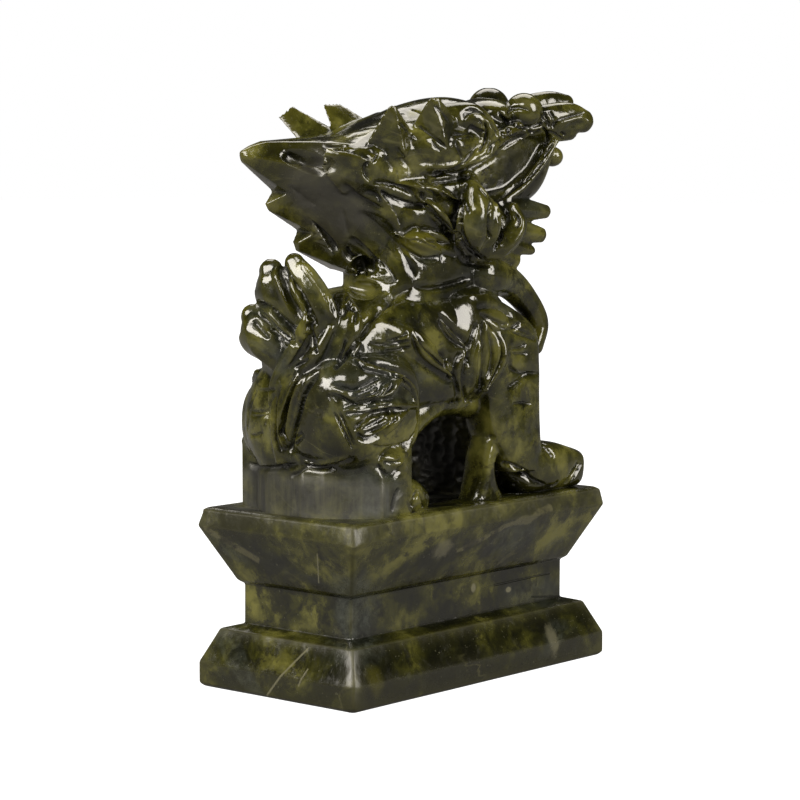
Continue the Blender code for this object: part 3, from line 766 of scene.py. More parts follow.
# %% Lines on the thighs
THIGH_LEAVES = (
    (((-47.5, 77), (-44.5, 76), (-42, 76.5), (-36.5, 78.5)),
     ((-48, 75.5), (-44.5, 73), (-42, 72.5), (-39.5, 73), (-33, 77.5)), 1.3, 3),
    (((-47, 71.5), (-44.5, 72.3), (-37.5, 73), (-33.5, 73.5)),
     ((-46.5, 70.5), (-39, 70.7), (-34.5, 71), (-30.5, 70.7)), 1.2, 1),
    (((-44.5, 66.5), (-42.5, 68), (-40, 69.5), (-34, 70.3)),
     ((-44, 66), (-41.5, 64.5), (-38.5, 65), (-36.5, 66.5), (-33, 69.5)), 1.3, 2),
    (((-39, 83.5), (-38, 82.5), (-31, 80)), ((-40, 83), (-39.5, 81), (-36.5, 80), (-32.5, 79)), 0.9, 0),
    (((-36, 58.5), (-34, 60), (-29, 61), (-26, 62.5)),
     ((-36, 58), (-34.5, 56), (-31.5, 55), (-27.5, 57.5)), 1.2, 1),
)
THIGH_CUTS = (
    (((-36.5, 82), (-29, 79.5), (-22, 75), (-21, 68), (-26, 62), (-34.5, 60.5)), 1.8, 2.0, 0.6),
    (((-32, 79), (-25.5, 76), (-22, 69.5)), 1.3, 0.7, 0.6),
    (((-29, 76.5), (-25, 74), (-24.7, 71)), 0.7, 0.8, 0.7),
    (((-39.5, 62.7), (-35, 61.8), (-28, 62.2)), 0.7, 0.6, 1.4),
)
print("a thigh has", len(THIGH_LEAVES), "leaves and", len(THIGH_CUTS), "cuts")

# %% Lines on the flanks
FLANK_LEAVES = (
    (((-20, 89.5), (-19.5, 86), (-17, 83.3), (-13, 80.7), (-4, 75.7)),
     ((-21, 89), (-21, 85.8), (-18.5, 82.3), (-14, 79.3), (-5, 75)), 1.2, 0),
    (((-10, 92.5), (-8, 90), (-5, 87.3), (-0.5, 83)),
     ((-10, 91.5), (-9, 88.5), (-6.5, 86), (-1, 83)), 1.2, 1),
    # The lens of the shoulder, and a leaf over it.
    (((4.5, 91), (8.5, 86), (8.7, 80.5), (4.7, 72)),
     ((4.3, 90.5), (3.8, 86), (4.3, 79.5), (4.5, 72.5)), 1.6, 1),
    (((2.5, 93), (7, 93.2), (11.5, 92.5), (15.5, 90)), ((3, 92), (9.5, 89.7), (13, 88.5)), 1.0, 0),
)
FLANK_CUTS = (
    (((-34, 86.3), (-29.5, 85.7), (-24.5, 86), (-22, 86.5)), 0.9, 0.7),
    (((-29, 86.6), (-26, 86.7), (-22.7, 88.5)), 0.9, 0.6),
    (((-29.7, 84.2), (-25, 84.2), (-21.4, 84.8)), 0.9, 0.6),
    (((-12.3, 83.6), (-9.3, 81.7), (-9.4, 78.8)), 1.2, 0.6, 1.6),
    (((-2, 83), (-4.5, 80.5), (-5, 76.5), (-1.5, 71)), 1.3, 0.7, 1.8),
    (((-1, 82.5), (-2.2, 78.5), (-1.5, 74), (2.6, 69.3)), 1.0, 0.7, 1.0),
    (((2.8, 85.6), (1, 82), (1, 79), (1.8, 72.5)), -0.8, 0.8),
    (((1.8, 89.6), (0, 86.2), (-1, 82.8), (-1, 78.8)), 1.2, 0.6, 1.6),
    # Where the back and the chest meet the neck.
    (((-41.5, 83.5), (-37, 87), (-31, 92), (-21.5, 96), (-15.7, 99)), 1.4, 1.8, 0.7),
    (((-15.7, 99), (-10, 98.2), (-1, 99), (5.5, 100.5)), 1.3, 1.8, 0.7),
)
print("a flank has", len(FLANK_LEAVES), "leaves and", len(FLANK_CUTS), "cuts")

# %% Lines on legs and paws
LEG_CUTS = (
    # Fur that hangs where the leg leaves the belly.
    (((-3.4, 70.4), (-2.6, 68), (-1.8, 65.8)), 0.7, 0.6),
    (((-2, 71.4), (-0.8, 68.5), (0.1, 65.9)), 0.8, 0.6),
    (((0, 71.4), (0.8, 68.5), (1.6, 65.2)), 0.8, 0.6),
    (((2.2, 72), (3, 68), (3.6, 63.8)), 0.9, 0.7),
    (((4.3, 71), (5, 67), (6.5, 63), (10.4, 60)), 1.0, 0.6, 1.2),
    (((10, 89), (12.2, 87.7), (15, 87.8), (18.2, 89)), 1.1, 0.6, 1.4),
    (((14, 87), (17.3, 86), (25, 84)), 0.9, 1.2, 0.6),
    (((15.4, 87.7), (18.6, 86.8), (22.5, 85.6)), 0.5, 0.5),
    (((14, 82.3), (17.7, 82.6), (20, 83.5)), 0.9, 0.6),
    (((14, 81.7), (17, 81), (20.6, 81)), 0.9, 0.6),
    (((12.8, 79), (15, 77.4), (18.2, 76.2), (26.2, 75.7)), 1.4, 0.6, 1.8),
    (((12.7, 72.2), (15.8, 73.3), (21.5, 75.5)), 1.4, 1.6, 0.6),
    (((14.6, 68.6), (18.2, 68.6), (22.4, 68)), 0.8, 0.6),
    # Ankle, sole and claws of the front paw.
    (((29, 57), (30.2, 55), (31.2, 53.2)), 0.8, 1.2, 0.8),
    (((10.5, 53.6), (15, 53.3), (21, 50.7), (24, 48.5), (29, 46.5)), 1.2, 0.6, 1.6),
    (((29.3, 46.2), (32.3, 45.9), (33.7, 47.4)), 0.9, 0.6, 0.8),
    (((37, 45.5), (39, 48.5), (42.8, 51.5)), 1.4, 0.7, 0.9),
    (((39.7, 46), (41.6, 48.5), (44.3, 51)), 0.9, 0.6),
    # Claws of the hind paw.
    (((-31.8, 46), (-30.7, 49.3), (-29, 51.5)), 1.2, 0.7, 0.9),
    (((-24.3, 46), (-23.5, 48.6), (-21.5, 50.2)), 1.4, 0.7, 0.9),
    (((-21.3, 49.6), (-20.2, 47.8), (-18.3, 45)), 1.1, 0.9, 0.7),
)
print("the legs of one side have", len(LEG_CUTS), "cuts")

# %% Cut the two sides
FAR_THIGH = 5.5  # the far thigh sits this much further forward than the near one
FLANK_SKIN = 12  # on thighs and flanks only skin further out than this is cut
FAR_THIGH_SKIN = 19
LEG_SKIN = 17
for plane, ahead, behind in ((SIDE, 0.0, FLANK_SKIN), (across_from(SIDE), FAR_THIGH, FAR_THIGH_SKIN)):
    apply((np.array((ahead, 0, 0)), *plane[1:]), THIGH_LEAVES, THIGH_CUTS, behind)
    apply(plane, FLANK_LEAVES, FLANK_CUTS, FLANK_SKIN)
    apply(plane, (), LEG_CUTS, LEG_SKIN)
marks = [len(group) for group in (THIGH_LEAVES, THIGH_CUTS, FLANK_LEAVES, FLANK_CUTS, LEG_CUTS)]
print("the two sides carry", 2 * sum(marks), "leaves and cuts")

# %% [markdown]
# ## Tail, rump and nape
#
# The rear of the block shows the tail in full. A ridge with a stroke beside it runs down each lock, and
# two ridges sweep down the stem. The near rear corner is drawn on a plane of its own, because neither
# the side nor the rear shows it without a slant.

# %% Lines on the tail
TAIL_CUTS = (
    # Down each lock a ridge with two strokes beside it, and a gap between the locks.
    (((-1.6, 105), (0, 101.5), (1.6, 98.3), (4.4, 92)), -1.1, 1.2),
    (((-0.8, 105), (1.7, 101.2), (4.6, 95), (7.5, 92)), 0.9, 0.6),
    (((0.3, 104.5), (3.2, 100.2), (4.7, 97.2), (5.8, 94)), 0.8, 0.6),
    (((1.2, 104.5), (5.3, 100.5), (8, 97), (11, 90.5)), 2.0, 1.2),
    (((-9, 95), (-2.5, 94.5), (1, 92), (7, 86)), 2.2, 1.8, 1.2),
    (((5.8, 106), (10, 101.6), (13.4, 96.3), (14, 93)), -0.9, 1.0),
    (((7, 105.5), (11.5, 100.7), (14.6, 94.6)), 0.9, 0.6),
    (((8.4, 105), (13.3, 99.1), (15.3, 92)), 0.8, 0.6),
    (((-7.7, 93.4), (-4.3, 91.1), (-0.4, 88), (4.5, 85.5)), 1.0, 0.6),
    (((-7, 94), (-2.5, 91.7), (1.4, 88.5), (5.4, 86)), 0.8, 0.6),
    (((-7.6, 91.5), (-5, 89.2), (-2, 87.2)), 0.8, 0.8),
    # The stem: two ridges that sweep down together, and the strokes where they part.
    (((9.4, 92), (8.3, 89), (5.3, 83.2), (3.4, 80.5)), -1.0, 0.9),
    (((10, 92), (9.8, 88.8), (12, 84)), 1.2, 0.6, 0.8),
    (((9, 89), (9, 86), (6.7, 82.5)), 0.9, 0.6),
    (((9.7, 83), (7.5, 81.8), (5.5, 80.6)), 0.9, 0.6),
    (((7, 79.5), (3.8, 73), (1.6, 67), (1.6, 61)), -1.0, 0.8),
    (((7.8, 79), (5, 73.2), (2.6, 66.5), (2, 62.5)), 1.4, 0.7),
    (((8.8, 79), (6.3, 73.3), (4, 66.6), (2.4, 62.5)), -0.9, 0.8),
    (((2.3, 76.5), (0.9, 71.5), (1, 64.5), (1.5, 60)), 1.7, 0.6, 1.8),
    (((13, 80), (9.6, 75), (7, 68), (2, 60)), 2.0, 1.8, 0.6),
    # Scutes beside the stem, and the rim under the rump.
    (((-9.2, 74.5), (-10.6, 71), (-12.8, 64)), 0.8, 0.6),
    (((-9, 74.3), (-5.7, 74.5), (0.5, 75.3)), 0.8, 0.6),
    (((-10, 69), (-6, 69.3), (-1.7, 70)), 0.8, 0.6),
    (((-10, 68), (-6.3, 68.3), (-2.3, 69)), 0.7, 0.5),
    (((-11, 63.2), (-7.8, 63.5), (-5, 64.5)), 0.7, 0.5),
    (((0.4, 74.4), (-3.5, 69.2), (-4, 66)), 0.7, 0.6),
    (((-18.2, 56), (-15, 55), (-3, 56), (5.4, 57.6)), 1.2, 0.6, 1.6),
    (((2.6, 54.2), (5.4, 55.4), (7.6, 56.8)), 0.8, 0.7),
    (((5.6, 63.6), (7.8, 64.7), (9.3, 65.6)), 0.9, 0.6),
    (((5.4, 62), (7.9, 63.5), (9.6, 65)), 0.9, 0.6),
)
print("the tail and rump have", len(TAIL_CUTS), "cuts")

# %% Lines on the rear corner, and the cutting
CORNER_CUTS = (
    (((-28.5, 57.6), (-22, 57), (-15.5, 60)), 1.2, 0.6, 1.6),
    (((-28, 58.6), (-24.5, 58), (-17.5, 60.2)), -0.7, 0.8),
    (((-21, 71), (-19.4, 68.5), (-16, 61.4)), 1.0, 0.6),
    (((-19.6, 71), (-18.3, 68.5), (-15.5, 62)), 1.0, 0.6),
    (((-20.6, 80.8), (-17.6, 83.4), (-16, 84.8)), 1.0, 0.7),
    (((-19.6, 82.3), (-18.3, 84.8), (-17.6, 87.7)), 0.9, 0.6),
    (((-17.6, 95.3), (-14.6, 94), (-15.4, 91)), 1.0, 0.6, 1.2),
    (((-20.8, 80.5), (-16.2, 84.8), (-12.3, 89.2), (-8.2, 94.5)), 1.3, 1.6, 0.7),
)
REAR_SKIN = 36  # only skin further out than this is cut
CORNER_SKIN = 28
apply(REAR, (), TAIL_CUTS, REAR_SKIN)
apply(CORNER, (), CORNER_CUTS, CORNER_SKIN)
# Two steps cut in the nape.
scoop(CORNER, (-12, 103.3), (4.4, 2.1), 0, 1.8)
scoop(CORNER, (-12.2, 98.2), (4.4, 2.3), 0, 1.9)
print("the rear corner has", len(CORNER_CUTS), "cuts and two steps")

# %% [markdown]
# ## Broken stone under the belly
#
# The carver broke the stone out of the hole between the legs and left it rough, because no wheel reaches
# it. Plane waves in random directions, from long to short, break a surface up without any pattern.

# %% Broken stone
HOLE_TOP, HOLE_SIDE, HOLE_REAR, HOLE_FRONT = 68, 11.5, -18, 15
SPLINTER_DEPTH = 0.22
WAVES = 9
x, y, z = stone_points.T
broken = (np.clip((HOLE_TOP - z) / 3, 0, 1) * np.clip((HOLE_SIDE - np.abs(y)) / 2, 0, 1)
          * np.clip((x - HOLE_REAR) / 4, 0, 1) * np.clip((HOLE_FRONT - x) / 2, 0, 1))
dice = np.random.default_rng(5)
splinters = 0
for k in range(WAVES):
    pitch = 0.5 * 1.25**k  # radians per millimetre, from splinters of a centimetre down to grains
    wave = stone_points @ unit(dice.normal(size=3)) * pitch + dice.uniform(0, 6)
    splinters = splinters + np.sin(wave) * 0.9**k
stone_points -= (SPLINTER_DEPTH * broken * np.abs(splinters))[:, None] * stone_facing
print("broken stone under the belly:", int((broken > 0.5).sum()), "points")

# %% [markdown]
# ## Mane, cheek and face
#
# The head's lines are drawn on its own side plane. The mane gets shallow bands and bevels, the cheek its
# leaves and the slits between the fingers of the large one, and the face a brow, lids, a lip, wrinkles
# over the nose and a nostril. The ears of the near side have a few strokes more.

# %% Leaves of the cheek, the lip and the curl
HEAD_LEAVES = (
    # Blades that lie between the mane and the cheek.
    (((-23, 0), (-17.5, -0.4), (-11, -2.7)), ((-20.5, -1.7), (-16.5, -3.5), (-8, -5.8)), 1.2, 0),
    (((-9.5, -1), (-5.5, -3.5), (1.5, -10)), ((-10, -2), (-8.5, -4.5), (-5.5, -8), (1, -12.5)), 1.2, 0),
    (((-5.6, -0.8), (-2.4, -1.8), (1.8, -4.2)), ((-5.2, -1.6), (-2, -3.6), (1.7, -4.8)), 1.0, 0),
    (((-15, -13), (-12.4, -11.5), (-9.5, -10.7), (-4.5, -13), (0, -16)),
     ((-14.5, -14.5), (-12, -16.3), (-8, -18.2), (-2, -18)), 1.2, 1),
    (((-9.5, -11.8), (-5.5, -11.6), (-1.5, -12.5), (2.3, -14.3)),
     ((-8.5, -13.2), (-4, -14.4), (2, -15.2)), 1.1, 0),
    # The lip.
    (((-8.5, 2), (-1.7, 1.9), (3, 5.4), (8.3, 10)),
     ((-10.6, 0.3), (-6, 0.5), (1, 0.9), (10, 2.7), (19, 6.9)), 1.1, 0),
    # The curl before the ears.
    (((3, 15), (4.2, 17), (6.6, 17.6), (9.5, 16.7), (14, 13.8), (15.8, 11.5)),
     ((4.8, 14), (6.8, 13.1), (9, 12.4)), 1.1, 0),
)
print("each side of the head has", len(HEAD_LEAVES), "leaves")

# %% Lines on mane and cheek
MANE_CUTS = (
    # The side lock behind the ears, the top lock's bevel, and creases on the flat of the mane.
    (((-32, 7.6), (-30.5, 8.1), (-26.5, 7), (-24, 5.4)), 1.2, 1.8, 0.5),
    (((-47, 7), (-42.6, 7.3), (-39.6, 6.9), (-36, 5.5)), 0.8, 0.4, 2.8),
    (((-42.4, 1.3), (-39.7, -0.8), (-33, -6)), 0.2, 0.4, 1.6),
    (((-37, -8.4), (-33.6, -9.6), (-30.5, -11.8), (-27.6, -14.6), (-25.6, -17.5)), 2.0, 0.4, 4.5),
    (((-41.5, 5.8), (-38.5, 3.6), (-35.5, 2.2), (-32.8, 1.5)), 0.8, 2.0, 0.5),
    (((-27, -7), (-25.8, -10), (-24.7, -13)), 0.2, 0.5),
    (((-29.2, 0), (-25.7, -2.6), (-19, -6.4)), 1.1, 0.5, 2.2),
    # The band across the neck.
    (((-24.2, -13.3), (-21.2, -15.5), (-17.5, -19.3), (-15, -24)), 1.7, 0.5, 3.5),
    (((-24, -7), (-19, -10.5), (-14, -16), (-10.5, -23)), 1.0, 2.6),
    (((-24.2, -16), (-23.2, -18), (-21.4, -19.4)), 1.1, 0.5, 1.5),
    (((-19.7, -18.8), (-18.4, -20.5), (-18.3, -23)), 1.1, 0.5, 0.8),
    # Behind the cheek.
    (((-24.5, 5.4), (-25.7, 4.2), (-25.3, 2.2), (-24, 0.6)), 1.1, 2, 0.5),
    (((-23.5, -2), (-21, -3), (-19.7, -4.6)), 0.7, 0.6),
    (((-9.4, -5), (-4.6, -8.7), (1.2, -13.2)), 1.0, 0.5),
    (((-4, -6.5), (-0.1, -8.5), (1.3, -10)), 0.6, 0.4),
    (((-10, -13), (-7.7, -14.6), (0, -16.4)), -0.6, 0.8),
    (((-2, -19.8), (-1.4, -17.6), (3.8, -18.6)), 0.6, 0.5),
    (((4, -18), (6.5, -20), (9.8, -20.6), (14.5, -21)), 0.7, 0.5, 0.8),
    # The large leaf: its outline, the slits between its fingers, and its ridges.
    (((3.7, -0.9), (1.8, -7.8), (2.3, -12.7), (6.2, -17.2), (13, -20.5)), 1.6, 0.5, 2.5),
    (((4.5, 0), (3.4, -3.5), (3.3, -7.3)), 1.1, 0.5),
    (((5.3, 0), (4.2, -3.5), (4, -7)), -0.6, 0.6),
    (((2.3, -12.5), (3.6, -15), (11, -19)), 0.8, 0.5),
    (((9.9, -4.5), (8.6, -7.5), (9, -11.5), (10.6, -13.8)), 1.6, 0.6),
    (((11.8, -4.5), (12.2, -6.7), (13, -9)), -0.6, 0.7),
    (((7.5, -1), (9.3, -3.4)), 0.7, 0.5),
    (((21.8, -9.5), (21.6, -12), (20, -15.5), (16.5, -18)), 0.7, 0.4),
    (((19.4, -7.9), (19.8, -9.4), (18.8, -11.3)), 0.8, 0.5),
    (((13.4, -14), (12.2, -17)), 0.8, 0.5),
)
print("mane and cheek have", len(MANE_CUTS), "cuts")

# %% Lines on the face
FACE_CUTS = (
    # Inside the curl.
    (((8.5, 15.2), (9.5, 13), (9.3, 10), (7.3, 7.6)), 1.7, 0.6, 0.7),
    (((10, 14), (10.5, 11.8), (10, 9)), -0.6, 0.6),
    (((10.5, 15), (12.1, 13), (12.9, 11)), 0.8, 0.5),
    (((6.8, 15.7), (7.6, 14.7), (8.3, 13.5)), 0.6, 0.4),
    (((15.2, 10.8), (11.3, 9.1), (9.9, 6.9), (5.8, 5.4)), 0.8, 0.5, 0.9),
    (((19.7, 7.1), (23, 8.7), (27.2, 10.7), (29, 12)), -0.6, 0.5),
    # Brow, lids and the two beads under the eye.
    (((4, 17.8), (6.4, 17.9), (11.2, 15.7), (18, 13.5)), 1.2, 0.5),
    (((18.2, 17.2), (20.2, 15.5), (23.5, 13.6), (28, 13.2), (30, 14)), 1.3, 0.5, 0.7),
    (((17.2, 12.6), (17.2, 11.4), (19.8, 11.3), (22.4, 12)), 1.1, 0.5, 0.8),
    (((20, 13.4), (19, 12.4), (18.6, 11)), 1.1, 0.6),
    (((20.6, 16.8), (22.6, 18), (24.2, 18.5), (26.8, 17.8)), 0.7, 0.4, 1.2),
    (((29.2, 13.5), (30.8, 14), (32.1, 14.6)), 0.8, 0.5),
    (((31.2, 16.3), (30.6, 15.3), (29.9, 14)), 0.6, 0.4),
    # Wrinkles of the nose, the nostril's edge and the corner of the lip.
    (((32.7, 17.3), (33.4, 15.6), (34.3, 13.6)), 1.0, 0.5),
    (((34.2, 17.6), (35.3, 15.9), (35.1, 13.1)), 0.6, 0.4, 0.8),
    (((30, 17.6), (32.3, 15.6), (34.4, 13.1)), 0.6, 0.4, 0.8),
    (((27.8, 12.5), (29.9, 12), (31.7, 12.8)), 1.1, 0.5, 0.8),
    (((32, 13.6), (34.6, 11.5), (35.7, 9.8)), 1.2, 0.5),
    (((33.6, 12.5), (36.8, 11.8), (40.4, 10.2)), 0.7, 0.5),
    (((35.2, 12.8), (36.2, 14.9), (39.8, 16.2), (45.6, 17.5)), 1.2, 0.4, 0.9),
    (((38.5, 12.3), (40.5, 11.3)), 0.8, 0.4, 0.6),
    (((33, 6.2), (28.3, 1.5), (25, -0.8), (18.5, -4.8)), 0.8, 0.5),
    (((35.4, 9.5), (33.7, 7.7), (32, 5.7)), 0.8, 0.4),
    (((37.5, 9.3), (36.2, 7.5), (36.1, 5.5)), 0.8, 0.5, 0.8),
)
print("the face has", len(FACE_CUTS), "cuts")

# %% Lines on the near ears, and the cutting
EAR_CUTS = (
    (((-17.3, 14.8), (-12.8, 12.3), (-10.7, 10.2)), 0.5, 0.4, 0.8),
    (((-21.4, 8.9), (-20.2, 8.2), (-18.8, 7)), 0.5, 0.5),
    (((-19.6, 6.3), (-16.6, 3.4)), 0.6, 0.5, 1.5),
    (((-17.2, 9), (-16, 7.1), (-12.7, 4.4)), 0.6, 0.4, 1.5),
    (((-7.4, 19), (-4.8, 17.1), (-1.6, 14.6)), 0.4, 0.4),
    (((-9.3, 13.8), (-7.7, 12.4), (-3, 8.2)), 0.7, 0.5),
    (((-7.2, 10.7), (-6.1, 8.8), (-4.7, 7.9)), 0.5, 0.4),
    (((-1, 12), (2, 12), (5.7, 12.4)), 0.6, 0.5),
    (((-0.4, 11), (2.1, 11), (5.3, 11.7)), 0.4, 0.4),
    (((-0.2, 10.8), (0.2, 8.6), (2.2, 5.9)), 0.8, 0.5, 1.5),
    (((-23.7, 7.9), (-22, 7), (-23.9, 4.9)), 0.7, 0.6),
)
HEAD_SKIN = 5  # only skin further out than this is cut
# The skin has moved since its facing was measured.
stone_facing = facing_of(stone_points)
for plane in (CHEEK, across_from(CHEEK)):
    apply(plane, HEAD_LEAVES, MANE_CUTS + FACE_CUTS, HEAD_SKIN)
    # Hollows: behind the side lock, under the band, inside the large leaf, and in the nostril.
    scoop(plane, (-36.5, 4.9), (6, 2.8), -14, 2.6)
    scoop(plane, (-33.4, 3.6), (2.6, 2.6), 0, 1.0)
    scoop(plane, (-20, -19.8), (7, 2.2), -42, 1.4)
    scoop(plane, (15, -11), (5, 1.5), 68, 2.4, 8)
    scoop(plane, (42.5, 14.3), (3.6, 1.6), 12, 0.9, 6)
apply(CHEEK, (), EAR_CUTS, HEAD_SKIN)
print("the near ears have", len(EAR_CUTS), "cuts")

# %% Keep inside the block and put the cut skin back
INSIDE = 0.1  # no lock comes nearer than this to the sides of the block
for k, half in enumerate((BLOCK_HALF_LENGTH, BLOCK_HALF_WIDTH)):
    stone_points[:, k] = np.clip(stone_points[:, k], -half + INSIDE, half - INSIDE)
stone_points[:, 2] = np.minimum(stone_points[:, 2], cad_high[2] / MM - INSIDE)
carved.vertices.foreach_set("co", (stone_points * MM).ravel())
carved.update()
print("the skin is back with", len(carved.vertices), "points")

# %% [markdown]
# ## Plinth
#
# The plinth is a moulding that runs round four sides: a slab with a slope above it, a waist, a slope that
# leans out and a slab again. A profile is carried round the block. Its corners are eased as a grinder
# eases them, its sides are not quite flat, and a few small chips are out of its edges.

# %% Profile and chips of the plinth
# The profile from the underside up: height, and how far it stands back from the block's sides.
PLINTH_PROFILE = (
    (0.0, 1.0),
    (0.9, 0.0),
    (6.2, 0.0),
    (14.4, 3.7),
    (15.6, 8.0),
    (25.6, 8.0),
    (26.5, 6.7),
    (40.1, 0.0),
    (44.0, 0.7),
    (PLINTH_TOP, 1.8),
)
# Small losses on the edges: place, radius and depth.
L, W = BLOCK_HALF_LENGTH, BLOCK_HALF_WIDTH
CHIPS = (
    ((-L, -W, 41.0), 2.4, 1.1),
    ((-47.5, -W, 43.6), 1.8, 0.6),
    ((-L, -W, 5.8), 1.8, 0.5),
    ((-L, -W, 0.4), 2.2, 0.7),
    ((L, -W, 42.0), 1.6, 0.5),
    ((-L, W, 43.0), 2.0, 0.7),
    ((L, W, 5.0), 2.0, 0.6),
)
print("the profile has", len(PLINTH_PROFILE), "corners and the edges", len(CHIPS), "chips")

# %% Ease the profile
EASING = 0.45  # how far from a corner of the profile its rounding starts
SPACING = 2.2  # between the points along a side


def eased_profile():
    """The profile with each corner b between a and c drawn as the curve (1-t)^2 p + 2t(1-t) b + t^2 q,
    with p and q at EASING from b, and with points between for the long faces."""
    # The underside and the top run in a little way before their flat middles.
    line = np.array([(0.0, 4.0), *PLINTH_PROFILE, (PLINTH_TOP, 5.0)])
    rows = [line[:1]]
    for a, b, c in zip(line, line[1:], line[2:]):
        back, on = a - b, c - b
        p = b + back * min(EASING / np.linalg.norm(back), 0.4)
        q = b + on * min(EASING / np.linalg.norm(on), 0.4)
        gap = p - rows[-1][-1]
        parts = max(1, round(np.linalg.norm(gap) / SPACING))
        rows.append(rows[-1][-1] + gap * np.arange(1, parts)[:, None] / parts)
        t = np.linspace(0, 1, 4)[:, None]
        rows.append((1 - t) ** 2 * p + 2 * t * (1 - t) * b + t**2 * q)
    return np.vstack((*rows, line[-1:]))


print("the eased profile has", len(eased_profile()), "points")

# %% Carry the profile round the block
UPRIGHT_RADIUS = 0.9  # of the plinth's upright edges
UNEVEN = 0.003        # the sides wander by this share of the distance to the middle


def plinth_shape():
    """ring(height, k) = signs * (half size - setback - r) + r (cos a, sin a): four sides and four
    rounded upright edges; then a slow unevenness of hand grinding, and the chips."""
    quarter = np.linspace(0, math.pi / 2, 5)
    rows = []
    for height, back in eased_profile():
        half = np.array((BLOCK_HALF_LENGTH - back, BLOCK_HALF_WIDTH - back)) - UPRIGHT_RADIUS
        ring = []
        for k, (sx, sy) in enumerate(((1, 1), (-1, 1), (-1, -1), (1, -1))):
            arc = quarter + k * math.pi / 2
            turn = np.column_stack((np.cos(arc), np.sin(arc)))
            ring.append((sx, sy) * half + UPRIGHT_RADIUS * turn)
        sides = []
        for k, arc in enumerate(ring):
            following = ring[(k + 1) % 4]
            parts = round((2 * (BLOCK_HALF_WIDTH if k % 2 else BLOCK_HALF_LENGTH)) / SPACING)
            share = np.arange(1, parts)[:, None] / parts
            sides += [arc, arc[-1] + (following[0] - arc[-1]) * share]
        flat = np.vstack(sides)
        rows.append(np.column_stack((flat, np.full(len(flat), height))))
    rings = np.array(rows)
    x, y, z = np.moveaxis(rings, -1, 0)
    uneven = 0.5 + 0.25 * (np.sin(0.19 * x + 0.33 * z + 1) + np.sin(0.27 * y - 0.21 * z + 0.13 * x))
    rings[..., :2] *= 1 - (UNEVEN * uneven)[..., None]
    for place, radius, depth in CHIPS:
        gap = np.linalg.norm(rings - place, axis=-1)
        push = (depth / np.linalg.norm(place)) * np.clip(1 - (gap / radius) ** 2, 0, 1)
        rings -= push[..., None] * place
    count, places = rings.shape[:2]
    underside = list(range(places))[::-1]
    top = list(range((count - 1) * places, count * places))
    return rings.reshape(-1, 3), [*quads_between(count, places), underside, top]


plinth = linked("plinth", mesh_of("plinth", [plinth_shape()]))
print("the plinth has", len(plinth.data.polygons), "faces")

# %% [markdown]
# ## Figure and plinth as one stone
#
# The skin has far more faces than its flat places need, so a Decimate modifier takes out those that do
# the least. A Boolean then joins figure and plinth, because the stone runs through both without a seam.

# %% Thin the skin and join it to the plinth
FIGURE_TRIANGLES = 180000

figure = linked("figure", carved)
thin = figure.modifiers.new("thin", "DECIMATE")
thin.ratio = FIGURE_TRIANGLES / (2 * len(carved.polygons))
join = figure.modifiers.new("on_plinth", "BOOLEAN")
join.operation = "UNION"
join.object = plinth
final = as_modified(figure)
bpy.data.objects.remove(plinth)
final.shade_smooth()
final.name = "dragon_stone"
dragon = linked("dragon_stone", final)
print("the stone has", sum(len(p.vertices) - 2 for p in final.polygons), "triangles")

# %% [markdown]
# ## How sharp each place is
#
# Thin convex edges get painted light: lighter and yellower, as light through the stone makes them. Grooves
# get painted shade, and the wax and dust that stay in them. Both follow the shape, so the shape is measured
# at every point and kept as an attribute for the material.

# %% Measure edges and grooves
SHARPEST = 1.5  # curvatures beyond this count as this
CONTRAST = 3.5
points, normals, ends = read(final)
neighbours = np.maximum(np.bincount(ends.ravel(), minlength=len(points)), 1)


def evened(values, rounds):
    """Each point's value drawn halfway to the mean of its neighbours, a number of times."""
    for _ in range(rounds):
        total = np.bincount(ends[:, 0], values[ends[:, 1]], len(values))
        total += np.bincount(ends[:, 1], values[ends[:, 0]], len(values))
        values = 0.5 * values + 0.5 * total / neighbours
    return values


# Along an edge p..q, n(p).(p-q) / |p-q|^2 is half the curvature: positive where the stone is convex.
gap = points[ends[:, 0]] - points[ends[:, 1]]
length2 = np.maximum((gap**2).sum(1), 1e-6)
bend = np.bincount(ends[:, 0], (normals[ends[:, 0]] * gap).sum(1) / length2, len(points))
bend -= np.bincount(ends[:, 1], (normals[ends[:, 1]] * gap).sum(1) / length2, len(points))
bend = evened(np.clip(bend / neighbours, -SHARPEST, SHARPEST), 3)
for name, values in (("edge", np.clip(evened(bend, 2) * CONTRAST, 0, 1)),
                     ("groove", np.clip(-bend * CONTRAST, 0, 1))):
    final.attributes.new(name, "FLOAT", "POINT").data.foreach_set("value", values)
    print(name, "mean", values.mean().round(3), "share over one half", (values > 0.5).mean().round(3))

# %% [markdown]
# ## Serpentine
#
# Polished serpentine is nearly black in the depth of the stone and olive where light gets under the
# surface, so thin edges look yellow-green. Clouds of darker and lighter green drift through it, with
# grey-blue seams, cream veins that run on a slant, and small dark grains. The material adds these up from
# noise in the stone's own space, in millimetres, so that a vein runs through figure and plinth alike.

